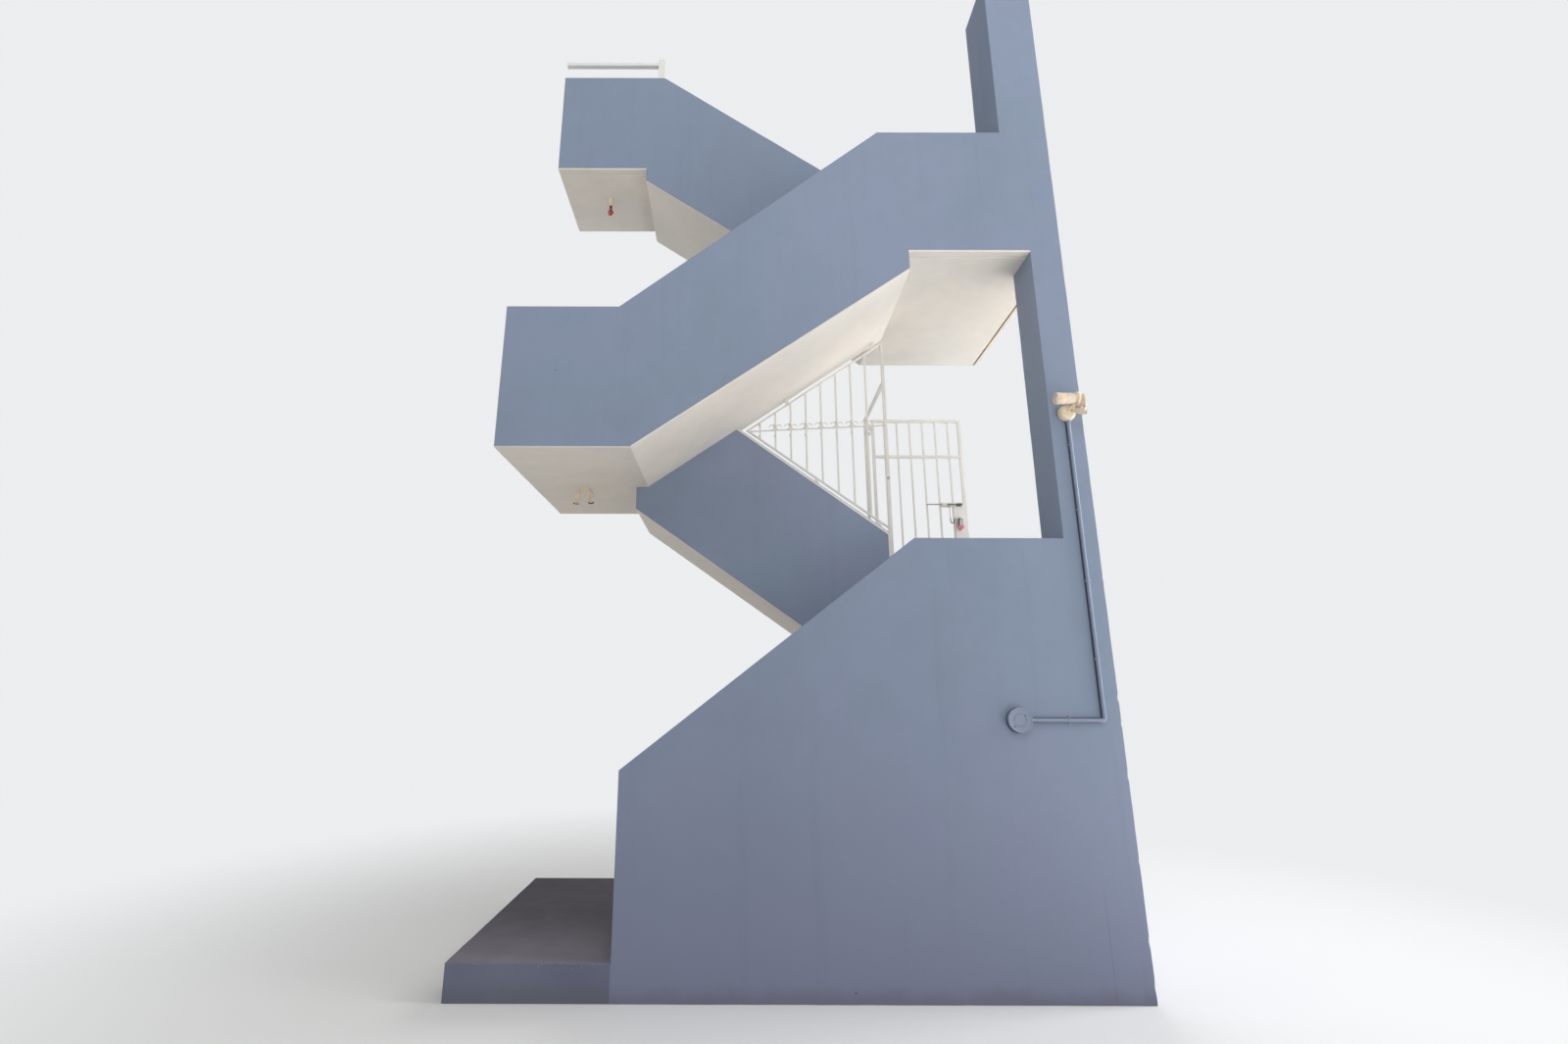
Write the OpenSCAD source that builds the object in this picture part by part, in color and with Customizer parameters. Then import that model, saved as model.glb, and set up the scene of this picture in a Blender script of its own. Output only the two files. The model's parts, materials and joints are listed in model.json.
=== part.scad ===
// Outside stair of a block of flats: a dog-leg stair of rendered concrete with solid parapets,
// a corner post, an iron grille with a gate, and its own lights.
// Inside the modules x runs from the building's side wall to the corner post, y from the front
// face to the building's back wall, and z up from the ground. place() centres that on the origin.

/* [Plan] */
// Length of the stair, from the side wall of the building to the outer face of the post
stair_w = 3908; // [3860:1:4300]
// Depth of the stair, from its front face to the back wall of the building
stair_d = 1786; // [1740:1:2000]
// Front face of the parapets between the two lanes, measured from the back wall
mid_in = 867; // [840:1:905]
// Thickness of the walls that stand on the ground
wall_t = 150; // [120:1:180]
// Thickness of the parapets
parapet_t = 100; // [80:1:120]

/* [Levels] */
// Top of the porch
porch_z = 200; // [150:1:240]
// Thickness of the screed on the porch
screed_t = 20; // [10:1:30]
// Floor of the lower half landing
lower_z = 1765; // [1740:1:1790]
// Floor of the first floor landing
first_z = 3374; // [3350:1:3390]
// Floor of the upper half landing
upper_z = 4853; // [4830:1:4880]
// Floor of the second floor landing
second_z = 6326; // [6300:1:6350]
// Thickness of the landing slabs
slab_t = 165; // [150:1:180]

/* [Flights] */
// Number of risers of flight 1
risers_1 = 9; // [8:1:10]
// Number of risers of flight 2
risers_2 = 9; // [8:1:10]
// Number of risers of flight 3
risers_3 = 8; // [7:1:9]
// Number of risers of flight 4
risers_4 = 8; // [7:1:9]
// First riser of flight 1, measured from the building's side wall
start_1 = 948; // [930:1:970]
// First riser of flight 2, measured from the outer face of the post
start_2_in = 1137; // [1120:1:1150]
// First riser of flight 3, measured from the building's side wall
start_3 = 889; // [875:1:900]
// First riser of flight 4, measured from the outer face of the post
start_4_in = 1183; // [1170:1:1200]
// Floor between the top riser of a flight and the edge of its landing
head_len = 60; // [40:1:80]
// Thickness of the tread slab laid on each step
tread_t = 35; // [20:1:45]
// Nosing of a tread in front of its riser
nosing = 15; // [5:1:18]
// Left edge of the lower half landing, measured from the outer face of the post
lower_edge_in = 1004; // [980:1:1020]
// Left edge of the upper half landing, measured from the outer face of the post
upper_edge_in = 1083; // [1070:1:1095]
// Right edge of the first floor landing
first_edge_x = 815; // [800:1:830]
// Right edge of the second floor landing
second_edge_x = 789; // [770:1:800]
// Place where the underside of flight 2 starts to climb, from the outer face of the post
knee_2_in = 1068; // [1050:1:1085]
// Place where the underside of flight 3 starts to climb
knee_3 = 905; // [890:1:920]
// Place where the underside of flight 4 starts to climb, from the outer face of the post
knee_4_in = 1126; // [1118:1:1136]
// Step in the underside where flight 1 meets its landing
drop_1 = 144; // [130:1:180]
// Step in the underside where flight 2 meets its landing
drop_2 = 177; // [150:1:190]
// Step in the underside where flight 3 meets its landing
drop_3 = 144; // [130:1:170]
// Step in the underside where flight 4 meets its landing
drop_4 = 116; // [110:1:150]
// Length of the foot of flight 1 on the ground
foot_len = 300; // [260:1:360]

/* [Parapets] */
// Left end of the front wall
front_wall_x = 915; // [880:1:930]
// Height of the left end of the front wall over the porch
shoulder_h = 1002; // [950:1:1050]
// Height of the parapet of the lower half landing over its floor
lower_parapet_h = 841; // [815:1:870]
// Place where the slope of the front wall ends, from the outer face of the post
lower_knee_in = 1170; // [1130:1:1200]
// Height of the parapet of the first floor landing over its floor
first_parapet_h = 873; // [850:1:890]
// Place where the top of the flight 3 parapet starts to climb
first_knee_x = 783; // [760:1:800]
// Height of the parapet of the upper half landing over its floor
upper_parapet_h = 854; // [830:1:880]
// Place where the top of the flight 3 parapet stops climbing, from the outer face of the post
upper_knee_in = 1262; // [1240:1:1290]
// Height of the parapet of the second floor landing over its floor
second_parapet_h = 841; // [815:1:870]
// Place where the top of the flight 4 parapet stops climbing
second_knee_x = 926; // [900:1:950]
// Right end of the parapets between the lanes, measured from the outer face of the post
mid_end_in = 1116; // [1106:1:1117]
// Height of the flight 2 parapet at its right end, over the lower half landing
mid_end_h = 1083; // [1065:1:1100]
// Place where the top of the flight 2 parapet stops climbing
mid_cap_x = 866; // [840:1:890]
// Height of the flight 4 parapet at its right end, over the upper half landing
high_end_h = 992; // [970:1:1015]
// Width of the drip grooves under the landings
drip_w = 14; // [8:1:20]
// Depth of the drip grooves
drip_h = 8; // [5:1:12]
// Middle of a front drip groove, measured from the face
drip_in = 66; // [50:1:68]
// Middle of the side drip groove, measured from the outer face
drip_side_in = 40; // [30:1:60]

/* [Corner post] */
// Width of the lower post
post_w = 222; // [200:1:260]
// Depth of the lower post
post_d = 311; // [280:1:340]
// Width of the upper post
high_post_w = 351; // [320:1:380]
// Depth of the upper post
high_post_d = 430; // [400:1:460]

/* [Grille] */
// Width of the square bars
bar_w = 14; // [10:1:18]
// Distance between the bars
bar_pitch = 124; // [115:1:130]
// Distance from the last bar to the end of the parapet
bar_end_gap = 134; // [120:1:150]
// Face width of the chords of the grille
chord_w = 13; // [11:1:18]
// Depth of the chords of the grille
chord_d = 16; // [14:1:20]
// Middle of the grille, measured from the face of the parapet under it
grille_in = 20; // [16:1:24]
// Gap between the grille and the underside of flight 3
roof_gap = 56; // [45:1:65]
// Gap between the grille and the parapet under it
sill_gap = 32; // [24:1:40]
// Width of a lug between a chord and the masonry
lug_w = 25; // [18:1:30]
// Distance of the last lugs from the end of the parapet
lug_end_gap = 70; // [60:1:90]
// Distance between the two lugs over the grille
roof_lug_pitch = 712; // [690:1:740]
// Distance between the two lugs under the grille
sill_lug_pitch = 486; // [470:1:520]
// Height of the scroll band over the lower half landing, at the gate post
scroll_h = 1975; // [1950:1:2000]
// Fall of the scroll band from the gate post to its left end
band_fall = 57; // [45:1:65]
// Outside radius of one scroll
scroll_r = 24; // [20:1:26]
// Thickness of the scroll rod and of the rail under the scrolls
scroll_rod = 8; // [6:1:9]
// Distance from the scroll band to the knots on each bar over and under it
knot_gap = 48; // [40:1:54]
// Height of a knot
knot_h = 16; // [12:1:20]
// Radius of a knot
knot_r = 12; // [11:0.5:14]

/* [Gate] */
// Width of the gate posts and of their head bar
gate_post_w = 24; // [22:1:28]
// Height of the head bar over the lower half landing
gate_head_h = 2365; // [2335:1:2395]
// Gap under the leaf
leaf_foot_gap = 60; // [40:1:90]
// Height of the top of the leaf over the lower half landing
leaf_top_h = 2352; // [2320:1:2380]
// Gap between the closed leaf and the gate posts
leaf_lap_gap = 13; // [10:0.5:15]
// Gap between the hinge barrels and the leaf's frame
leaf_side_gap = 6; // [4:1:10]
// Length of the leaf past the near face of the post that it closes against
leaf_lap = 36; // [28:1:40]
// Face width of the leaf's frame
leaf_frame_w = 26; // [20:1:30]
// Thickness of the leaf
leaf_t = 22; // [18:1:26]
// Distance from the top of the leaf to the top of its middle rail
leaf_rail_down = 351; // [320:1:380]
// Number of bars in the leaf
leaf_bars = 6; // [4:1:8]
// Gap between the open leaf and the wall of the building
leaf_wall_gap = 16; // [12:1:24]
// Radius of the hinge pins
pin_r = 6; // [4:0.5:7]
// Clearance of the hinge pins in their barrels
pin_gap = 0.3; // [0.2:0.1:0.5]
// Wall of the hinge barrels
barrel_wall = 4; // [3:0.5:5]
// Height of one hinge barrel
barrel_h = 40; // [30:1:60]

/* [Bolt and lock] */
// Height of the slide bolt over the lower half landing
bolt_h = 1526; // [1505:1:1545]
// Radius of the slide bolt
bolt_r = 6; // [5:0.5:6.5]
// Length of the slide bolt
bolt_len = 324; // [310:1:340]
// Travel of the slide bolt
bolt_travel = 28; // [22:1:30]
// Clearance of the slide bolt in its guides
bolt_gap = 0.5; // [0.3:0.1:1]
// Clearance of the slide bolt in the gate post
keeper_gap = 1.5; // [1:0.5:3]
// Gap between the drawn bolt and the gate post
bolt_end_gap = 8; // [6:1:10]
// Width of the handle loop of the bolt
loop_w = 40; // [34:1:42]
// Reach of the handle loop below the bolt
loop_drop = 177; // [150:1:185]
// Radius of the rod that the handle loop is bent from
loop_rod = 5; // [4:0.5:6]
// Length of one guide of the bolt
guide_w = 44; // [36:1:46]
// Gap between the left guide and the handle loop of the drawn bolt
guide_gap = 18; // [10:1:24]
// Width of the strap that carries the guides
strap_h = 44; // [36:1:52]
// Width of the lock plate
lock_plate_w = 114; // [108:1:118]
// Reach of the lock plate below the padlock's top
lock_plate_drop = 240; // [200:1:260]
// Distance from the bolt down to the padlock's top
lock_down = 190; // [184:1:196]
// Thickness of the lock plate and of the strap
plate_t = 3; // [2:0.5:3]
// Width of the padlock's body
padlock_w = 58; // [50:1:60]
// Thickness of the padlock's body
padlock_t = 20; // [16:1:24]
// Radius of the shackle's bend
shackle_r = 16; // [14:0.5:17]
// Radius of the shackle's rod
shackle_rod = 4; // [3:0.5:4.5]
// Straight part of the shackle over the body
shackle_leg = 46; // [36:1:50]

/* [Spotlight] */
// Distance of the spotlight from the left end of the landing
spot_x = 394; // [370:1:520]
// Distance of the spotlight from the front face
spot_y = 975; // [940:1:1180]
// Radius of its ceiling plate
spot_plate_r = 43; // [38:1:60]
// Thickness of its ceiling plate
spot_plate_h = 20; // [14:1:30]
// Distance from the middle of the plate to the middle of a head
spot_side = 52; // [46:1:70]
// Radius of the mouth of a head
spot_head_r = 24; // [21:1:28]
// Radius of the back of a head
spot_back_r = 16; // [13:1:20]
// Length of a head
spot_head_len = 105; // [95:1:115]

/* [Bulb] */
// Distance of the bulb from the left end of the landing
bulb_x = 407; // [380:1:470]
// Distance of the bulb from the front face
bulb_y = 1308; // [1250:1:1500]
// Radius of the bulb
bulb_r = 28; // [25:1:31]
// Height of the bulb from its middle to the end of its neck
bulb_neck_h = 70; // [60:1:80]
// Radius of the bulb's neck
bulb_neck_r = 13; // [11:1:15]
// Radius of the bulb holder against the landing
holder_r = 28; // [26:1:34]
// Height of the bulb holder
holder_h = 78; // [70:1:86]

/* [Floodlight] */
// Height of the middle of the base
flood_z = 3453; // [3425:1:3490]
// Distance from the middle of the base to the outer face of the post
flood_in = 111; // [107:1:118]
// Radius of the base
flood_base_r = 56; // [52:1:60]
// Thickness of the base
flood_base_h = 40; // [34:1:44]
// Reach of the heads in front of the post
lamp_reach = 130; // [126:1:140]
// Reach of the right head past the outer face of the post
lamp_side = 12; // [8:1:16]
// Radius of the left head
flood_left_r = 39; // [36:1:41]
// Length of the left head
flood_left_len = 141; // [130:1:150]
// Height of the left head over the middle of the base
flood_left_up = 74; // [70:1:78]
// Radius of the joint that the left head turns in
flood_joint_r = 45; // [42:1:47]
// Length of that joint
flood_joint_len = 20; // [16:1:24]
// Radius of the mouth of the right head
flood_right_r = 50; // [47:1:53]
// Radius of the back of the right head
flood_back_r = 30; // [26:1:34]
// Length of the right head
flood_right_len = 72; // [64:1:80]
// Height of the right head over the middle of the base
flood_right_up = 58; // [54:1:62]
// Radius of the mouth of the motion sensor
sensor_r = 28; // [25:1:31]
// Length of the motion sensor
sensor_len = 80; // [70:1:88]

/* [Conduit] */
// Radius of the conduit
conduit_r = 11; // [9:1:14]
// Height of the horizontal run of the conduit
conduit_z = 1493; // [1460:1:1520]
// Distance from the vertical run to the outer face of the post
conduit_in = 107; // [95:1:120]
// Middle of the junction box, measured from the outer face of the post
box_in = 615; // [580:1:680]
// Radius of the junction box
box_r = 73; // [68:1:84]
// Depth of the junction box
box_d = 34; // [34:1:40]
// Thickness of its cover
box_cover_t = 8; // [6:1:8]

/* [Top rail] */
// Height of the top rail's bar
rail_h = 31; // [26:1:40]
// Depth of the top rail's bar and of its end post
rail_d = 40; // [30:1:50]
// Height of the rail above its parapet
rail_up = 203; // [180:1:220]
// Width of its end post
rail_post_w = 55; // [40:1:60]
// Height of its end post above the parapet
rail_post_up = 243; // [225:1:260]
// Right end of the rail
rail_end_x = 914; // [880:1:920]

/* [Hidden] */
$fn = 40;

// Cuts run past a face by this much
over = 1;
// Distance at which a piece seats on another
seat = 0.3;

// Corner of the plan when the whole stair stands centred on the origin
corner = [-(stair_w + lamp_side) / 2, (lamp_reach - stair_d) / 2, 0];

// Places that are measured from the outer face of the post
lower_edge_x = stair_w - lower_edge_in;
upper_edge_x = stair_w - upper_edge_in;
start_2 = stair_w - start_2_in;
start_4 = stair_w - start_4_in;
knee_2 = stair_w - knee_2_in;
knee_4 = stair_w - knee_4_in;
lower_knee_x = stair_w - lower_knee_in;
upper_knee_x = stair_w - upper_knee_in;
mid_end_x = stair_w - mid_end_in;

// Heights that are measured from the floor under them
lower_top_z = lower_z + lower_parapet_h;
first_top_z = first_z + first_parapet_h;
upper_top_z = upper_z + upper_parapet_h;
second_top_z = second_z + second_parapet_h;
mid_end_z = lower_z + mid_end_h;
high_end_z = upper_z + high_end_h;

// Front and back faces of the parapets between the lanes, where the front lane ends and the back
// lane starts
mid_y = stair_d - mid_in;
lane_y = mid_y + parapet_t;

// Undersides of the landings
lower_under = lower_z - slab_t;
first_under = first_z - slab_t;
upper_under = upper_z - slab_t;
second_under = second_z - slab_t;

// Rise of one step in each flight
step_1 = (lower_z - porch_z) / risers_1;
step_2 = (first_z - lower_z) / risers_2;
step_3 = (upper_z - first_z) / risers_3;
step_4 = (second_z - upper_z) / risers_4;

// Going of one step in each flight, between its first riser and the floor at its head
going_1 = (lower_edge_x - head_len - start_1) / (risers_1 - 1);
going_2 = (start_2 - head_len - first_edge_x) / (risers_2 - 1);
going_3 = (upper_edge_x - head_len - start_3) / (risers_3 - 1);
going_4 = (start_4 - head_len - second_edge_x) / (risers_4 - 1);

// Slopes of the undersides, as height for each unit of length
slope_1 = step_1 / going_1;
slope_2 = (first_under - drop_2 - lower_under) / (knee_2 - first_edge_x);
slope_3 = (upper_under - drop_3 - first_under) / (upper_edge_x - knee_3);
slope_4 = (second_under - drop_4 - upper_under) / (knee_4 - second_edge_x);

function soffit_1(x) = lower_under - drop_1 - (lower_edge_x - x) * slope_1;
function soffit_2(x) = lower_under + (knee_2 - x) * slope_2;
function soffit_3(x) = first_under + (x - knee_3) * slope_3;
function soffit_4(x) = upper_under + (knee_4 - x) * slope_4;

// Top of the flight 2 parapet, which climbs to the left up to mid_cap_x and passes under flight 3
mid_slope = (first_top_z - mid_end_z) / (mid_end_x - mid_cap_x);
function mid_top(x) = mid_end_z + (mid_end_x - x) * mid_slope;

// Place where a line that climbs to the right crosses one that climbs to the left
function cross_x(z_a, slope_a, z_b, slope_b) = (z_b - z_a) / (slope_a + slope_b);

blue = [0.53, 0.58, 0.66];
white = [0.92, 0.90, 0.86];
grey = [0.36, 0.36, 0.38];
cream = [0.85, 0.80, 0.66];
steel = [0.55, 0.55, 0.55];
pink = [0.90, 0.42, 0.50];
black = [0.10, 0.10, 0.10];
red = [0.80, 0.05, 0.08];

module place() translate(corner) children();

// A prism with its outline in x and z, from y0 to y1
module slice(y0, y1, points)
    translate([0, y1, 0]) rotate([90, 0, 0]) linear_extrude(y1 - y0) polygon(points);

// Outline of the steps of a flight, each left low by a tread slab but for the top one, which is
// a strip of the landing's floor; way is 1 for a climb to the right and -1 to the left
function step_points(x0, z0, going, rise, count, way) = [for (i = [0:count - 1]) each [
    [x0 + way * i * going, z0 + i * rise - (i == 0 ? 0 : tread_t)],
    [x0 + way * i * going, z0 + (i + 1) * rise - (i == count - 1 ? 0 : tread_t)]]];

// Tread slabs on all risers but the top one
module treads(x0, z0, going, rise, count, way, y0, y1) {
    for (i = [0:count - 2])
        translate([x0 + way * i * going, y0, z0 + (i + 1) * rise - tread_t])
            mirror([way == 1 ? 0 : 1, 0, 0])
                tread(going, y1 - y0);
}

// One tread slab with a round nosing
module tread(going, width) {
    nose_r = tread_t / 2;
    translate([nose_r - nosing, 0, 0]) cube([going - nose_r + nosing, width, tread_t]);
    translate([nose_r - nosing, 0, nose_r]) rotate([-90, 0, 0]) cylinder(r = nose_r, h = width);
}

// Plan of the porch, which runs in behind the front wall up to the first riser
module porch_plan() difference() {
    square([start_1, stair_d]);
    translate([front_wall_x, -over]) square([start_1, wall_t + over]);
}

module porch() place() color(blue) linear_extrude(porch_z - screed_t) porch_plan();

module porch_floor() place() color(grey)
    translate([0, 0, porch_z - screed_t]) linear_extrude(screed_t) porch_plan();

module front_wall() place() color(blue)
    slice(0, wall_t, [[front_wall_x, 0], [stair_w - post_w, 0], [stair_w - post_w, lower_top_z],
        [lower_knee_x, lower_top_z], [front_wall_x, porch_z + shoulder_h]]);

module side_wall() place() color(blue)
    translate([stair_w - wall_t, post_d, 0]) cube([wall_t, stair_d - post_d, lower_top_z]);

module corner_post() place() color(blue)
    translate([stair_w - post_w, 0, 0]) cube([post_w, post_d, upper_top_z]);

module upper_post() place() color(blue)
    translate([stair_w - high_post_w, 0, upper_top_z])
        cube([high_post_w, high_post_d, second_top_z - upper_top_z]);

module flight_1() place() color(white)
    slice(wall_t, mid_y, concat(
        step_points(start_1, porch_z, going_1, step_1, risers_1, 1),
        [[lower_edge_x, lower_z], [lower_edge_x, soffit_1(lower_edge_x)],
            [start_1 + foot_len, soffit_1(start_1 + foot_len)],
            [start_1 + foot_len, 0], [start_1, 0]]));

module flight_1_treads() place() color(grey)
    treads(start_1, porch_z, going_1, step_1, risers_1, 1, wall_t, mid_y);

// Plan of a half landing, round the post and up to the end of the parapet between the lanes
module half_landing_plan(edge_x, side_t) difference() {
    union() {
        translate([edge_x, side_t]) square([stair_w - side_t - edge_x, stair_d - side_t]);
        translate([mid_end_x, mid_y]) square([stair_w - side_t - mid_end_x, parapet_t]);
    }
    translate([stair_w - post_w, 0]) square([post_w, post_d]);
}

module lower_landing() place() color(white)
    translate([0, 0, lower_under]) linear_extrude(slab_t) half_landing_plan(lower_edge_x, wall_t);

module flight_2() place() color(white)
    slice(lane_y, stair_d, concat([[lower_edge_x, lower_under], [lower_edge_x, lower_z]],
        step_points(start_2, lower_z, going_2, step_2, risers_2, -1),
        [[first_edge_x, first_z], [first_edge_x, soffit_2(first_edge_x)], [knee_2, lower_under]]));

module flight_2_treads() place() color(grey)
    treads(start_2, lower_z, going_2, step_2, risers_2, -1, lane_y, stair_d);

// The wall between the lanes up to the flight 2 parapet's top, as deep as it is asked for
module mid_wall(depth) slice(mid_y, mid_y + depth, [[first_edge_x, soffit_2(first_edge_x)],
    [mid_end_x, soffit_2(mid_end_x)], [mid_end_x, mid_end_z], [mid_cap_x, first_top_z],
    [first_edge_x, first_top_z]]);

module flight_2_parapet() place() color(blue) mid_wall(parapet_t);

module first_landing() place() color(white)
    translate([0, parapet_t, first_under]) cube([first_edge_x, stair_d - parapet_t, slab_t]);

module first_landing_parapet() place() color(blue)
    slice(0, parapet_t, [[0, first_under], [knee_3, first_under], [first_knee_x, first_top_z],
        [0, first_top_z]]);

// Flight 3 reaches back to the back lane where it passes over the flight 2 parapet and under the
// flight 4 parapet and the landing
module between_walls() difference() {
    children();
    mid_wall(parapet_t + over);
    slice(mid_y, lane_y + over, [[second_edge_x, soffit_4(second_edge_x)], [knee_4, upper_under],
        [stair_w, upper_under], [stair_w, second_top_z], [second_edge_x, second_top_z]]);
}

module flight_3() place() color(white) between_walls()
    slice(parapet_t, lane_y, concat([[first_edge_x, first_under], [first_edge_x, first_z]],
        step_points(start_3, first_z, going_3, step_3, risers_3, 1),
        [[upper_edge_x, upper_z], [upper_edge_x, soffit_3(upper_edge_x)], [knee_3, first_under]]));

module flight_3_treads() place() color(grey) between_walls()
    treads(start_3, first_z, going_3, step_3, risers_3, 1, parapet_t, lane_y);

module flight_3_parapet() place() color(blue)
    slice(0, parapet_t, [[knee_3, first_under], [upper_edge_x, soffit_3(upper_edge_x)],
        [upper_edge_x, upper_under], [upper_knee_x, upper_top_z], [first_knee_x, first_top_z]]);

module upper_landing() place() color(white)
    translate([0, 0, upper_under]) linear_extrude(slab_t) half_landing_plan(upper_edge_x, parapet_t);

module upper_landing_parapet() place() color(blue) difference() {
    slice(0, parapet_t, [[upper_edge_x, upper_under], [stair_w - post_w, upper_under],
        [stair_w - post_w, upper_top_z], [upper_knee_x, upper_top_z]]);
    translate([upper_edge_x, drip_in - drip_w / 2, upper_under - over])
        cube([stair_w, drip_w, drip_h + over]);
}

module upper_side_parapet() place() color(blue) difference() {
    translate([stair_w - parapet_t, post_d, upper_under])
        cube([parapet_t, stair_d - post_d, upper_top_z - upper_under]);
    translate([stair_w - drip_side_in - drip_w / 2, post_d - over, upper_under - over])
        cube([drip_w, stair_d, drip_h + over]);
}

module flight_4() place() color(white)
    slice(lane_y, stair_d, concat([[upper_edge_x, upper_under], [upper_edge_x, upper_z]],
        step_points(start_4, upper_z, going_4, step_4, risers_4, -1),
        [[second_edge_x, second_z], [second_edge_x, soffit_4(second_edge_x)],
            [knee_4, upper_under]]));

module flight_4_treads() place() color(grey)
    treads(start_4, upper_z, going_4, step_4, risers_4, -1, lane_y, stair_d);

module flight_4_parapet() place() color(blue)
    slice(mid_y, lane_y, [[second_edge_x, soffit_4(second_edge_x)], [knee_4, upper_under],
        [mid_end_x, upper_under], [mid_end_x, high_end_z], [second_knee_x, second_top_z],
        [second_edge_x, second_under]]);

module second_landing() place() color(white)
    translate([0, lane_y, second_under]) cube([second_edge_x, stair_d - lane_y, slab_t]);

module second_landing_parapet() place() color(blue) difference() {
    slice(mid_y, lane_y, [[0, second_under], [second_edge_x, second_under],
        [second_knee_x, second_top_z], [0, second_top_z]]);
    translate([-over, mid_y + drip_in - drip_w / 2, second_under - over])
        cube([second_edge_x + over, drip_w, drip_h + over]);
}

module top_rail() place() color(white)
    translate([0, mid_y + (parapet_t - rail_d) / 2, second_top_z]) {
        translate([0, 0, rail_up - rail_h]) cube([rail_end_x, rail_d, rail_h]);
        translate([rail_end_x - rail_post_w, 0, 0]) cube([rail_post_w, rail_d, rail_post_up]);
    }

// Lines of the grille: its roof follows the underside of flight 3, its sill the parapet
grille_y = mid_y + grille_in;
function grille_roof(x) = soffit_3(x) - roof_gap;
function grille_sill(x) = mid_top(x) + sill_gap;
roof_h = chord_w / cos(atan(slope_3));
sill_h = chord_w / cos(atan(mid_slope));

// Left tip and outline of the triangle at a share of the chords' thickness, up to x1 on the right
function tip_x(share) =
    cross_x(grille_roof(0) - share * roof_h, slope_3, grille_sill(0) + share * sill_h, mid_slope);
function triangle(share, x1) = [
    [tip_x(share), grille_roof(tip_x(share)) - share * roof_h],
    [x1, grille_sill(x1) + share * sill_h],
    [x1, grille_roof(x1) - share * roof_h]];
inner_tip_x = tip_x(1);

// The bars stand at an even pitch to the left of the gate post, up to the inner tip
bar_xs = [for (x = [mid_end_x - bar_end_gap:-bar_pitch:inner_tip_x + bar_w]) x];

module grille_frame() difference() {
    slice(grille_y - chord_d / 2, grille_y + chord_d / 2, triangle(0, mid_end_x));
    slice(grille_y - chord_d, grille_y + chord_d, triangle(1, mid_end_x + over));
}

// Lugs that hold the chords off the masonry
lug_d = chord_d - 2 * over;
module grille_lugs() {
    last_x = mid_end_x - lug_end_gap - lug_w / 2;
    for (x = [last_x, last_x - roof_lug_pitch])
        slice(grille_y - lug_d / 2, grille_y + lug_d / 2, [
            [x, soffit_3(x)], [x + lug_w, soffit_3(x + lug_w)],
            [x + lug_w, grille_roof(x + lug_w) - over], [x, grille_roof(x) - over]]);
    for (x = [last_x, last_x - sill_lug_pitch])
        slice(grille_y - lug_d / 2, grille_y + lug_d / 2, [
            [x, mid_top(x)], [x + lug_w, mid_top(x + lug_w)],
            [x + lug_w, grille_sill(x + lug_w) + over], [x, grille_sill(x) + over]]);
}

// Middle of the scroll band, which climbs a little towards the gate post
band_slope = band_fall / (mid_end_x - inner_tip_x);
function band_z(x) = lower_z + scroll_h - (mid_end_x - x) * band_slope;

// Width of the rail through the bars, and depth that a scroll sinks into its bar and the rail
band_w = 10;
scroll_seat = scroll_rod / 4;

// Three quarters of a ring, open at the bottom on the side away from its bar
module scroll() rotate([90, 0, 0]) rotate_extrude(angle = 270, $fn = 24)
    translate([scroll_r - scroll_rod / 2, 0]) circle(scroll_rod / 2, $fn = 16);

// Whether something from z0 to z1 fits between the chords over x
function between_chords(x, z0, z1) = grille_sill(x) + sill_h < z0 && grille_roof(x) - roof_h > z1;

// Rail from chord to chord through the bars
module band_rail() intersection() {
    slice(grille_y - band_w / 2, grille_y + band_w / 2, [
        [tip_x(0), band_z(tip_x(0)) - scroll_rod / 2],
        [mid_end_x, band_z(mid_end_x) - scroll_rod / 2],
        [mid_end_x, band_z(mid_end_x) + scroll_rod / 2],
        [tip_x(0), band_z(tip_x(0)) + scroll_rod / 2]]);
    slice(grille_y - band_w, grille_y + band_w, triangle(1 / 2, mid_end_x));
}

// Two knots on each bar, one over and one under the rail, and a scroll on each side of it
module scroll_band() {
    band_rail();
    for (x = bar_xs) {
        knot_end = knot_gap + knot_h / 2;
        if (between_chords(x, band_z(x) - knot_end, band_z(x) + knot_end))
            for (side = [-1, 1])
                translate([x, grille_y, band_z(x) + side * knot_gap - knot_h / 2])
                    cylinder(r = knot_r, h = knot_h);
        scroll_foot_z = band_z(x) + scroll_rod / 2 - scroll_seat;
        if (between_chords(x - 2 * scroll_r, scroll_foot_z, scroll_foot_z + 2 * scroll_r))
            for (side = [0, 1]) translate([x, grille_y, scroll_foot_z + scroll_r])
                mirror([side, 0, 0]) translate([bar_w / 2 + scroll_r - scroll_seat, 0, 0]) scroll();
    }
}

module stair_grille() place() color(white) {
    grille_frame();
    grille_lugs();
    scroll_band();
    for (x = bar_xs)
        translate([x - bar_w / 2, grille_y - bar_w / 2, grille_sill(x) + sill_h / 2])
            cube([bar_w, bar_w, grille_roof(x) - roof_h / 2 - grille_sill(x) - sill_h / 2]);
}

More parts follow.
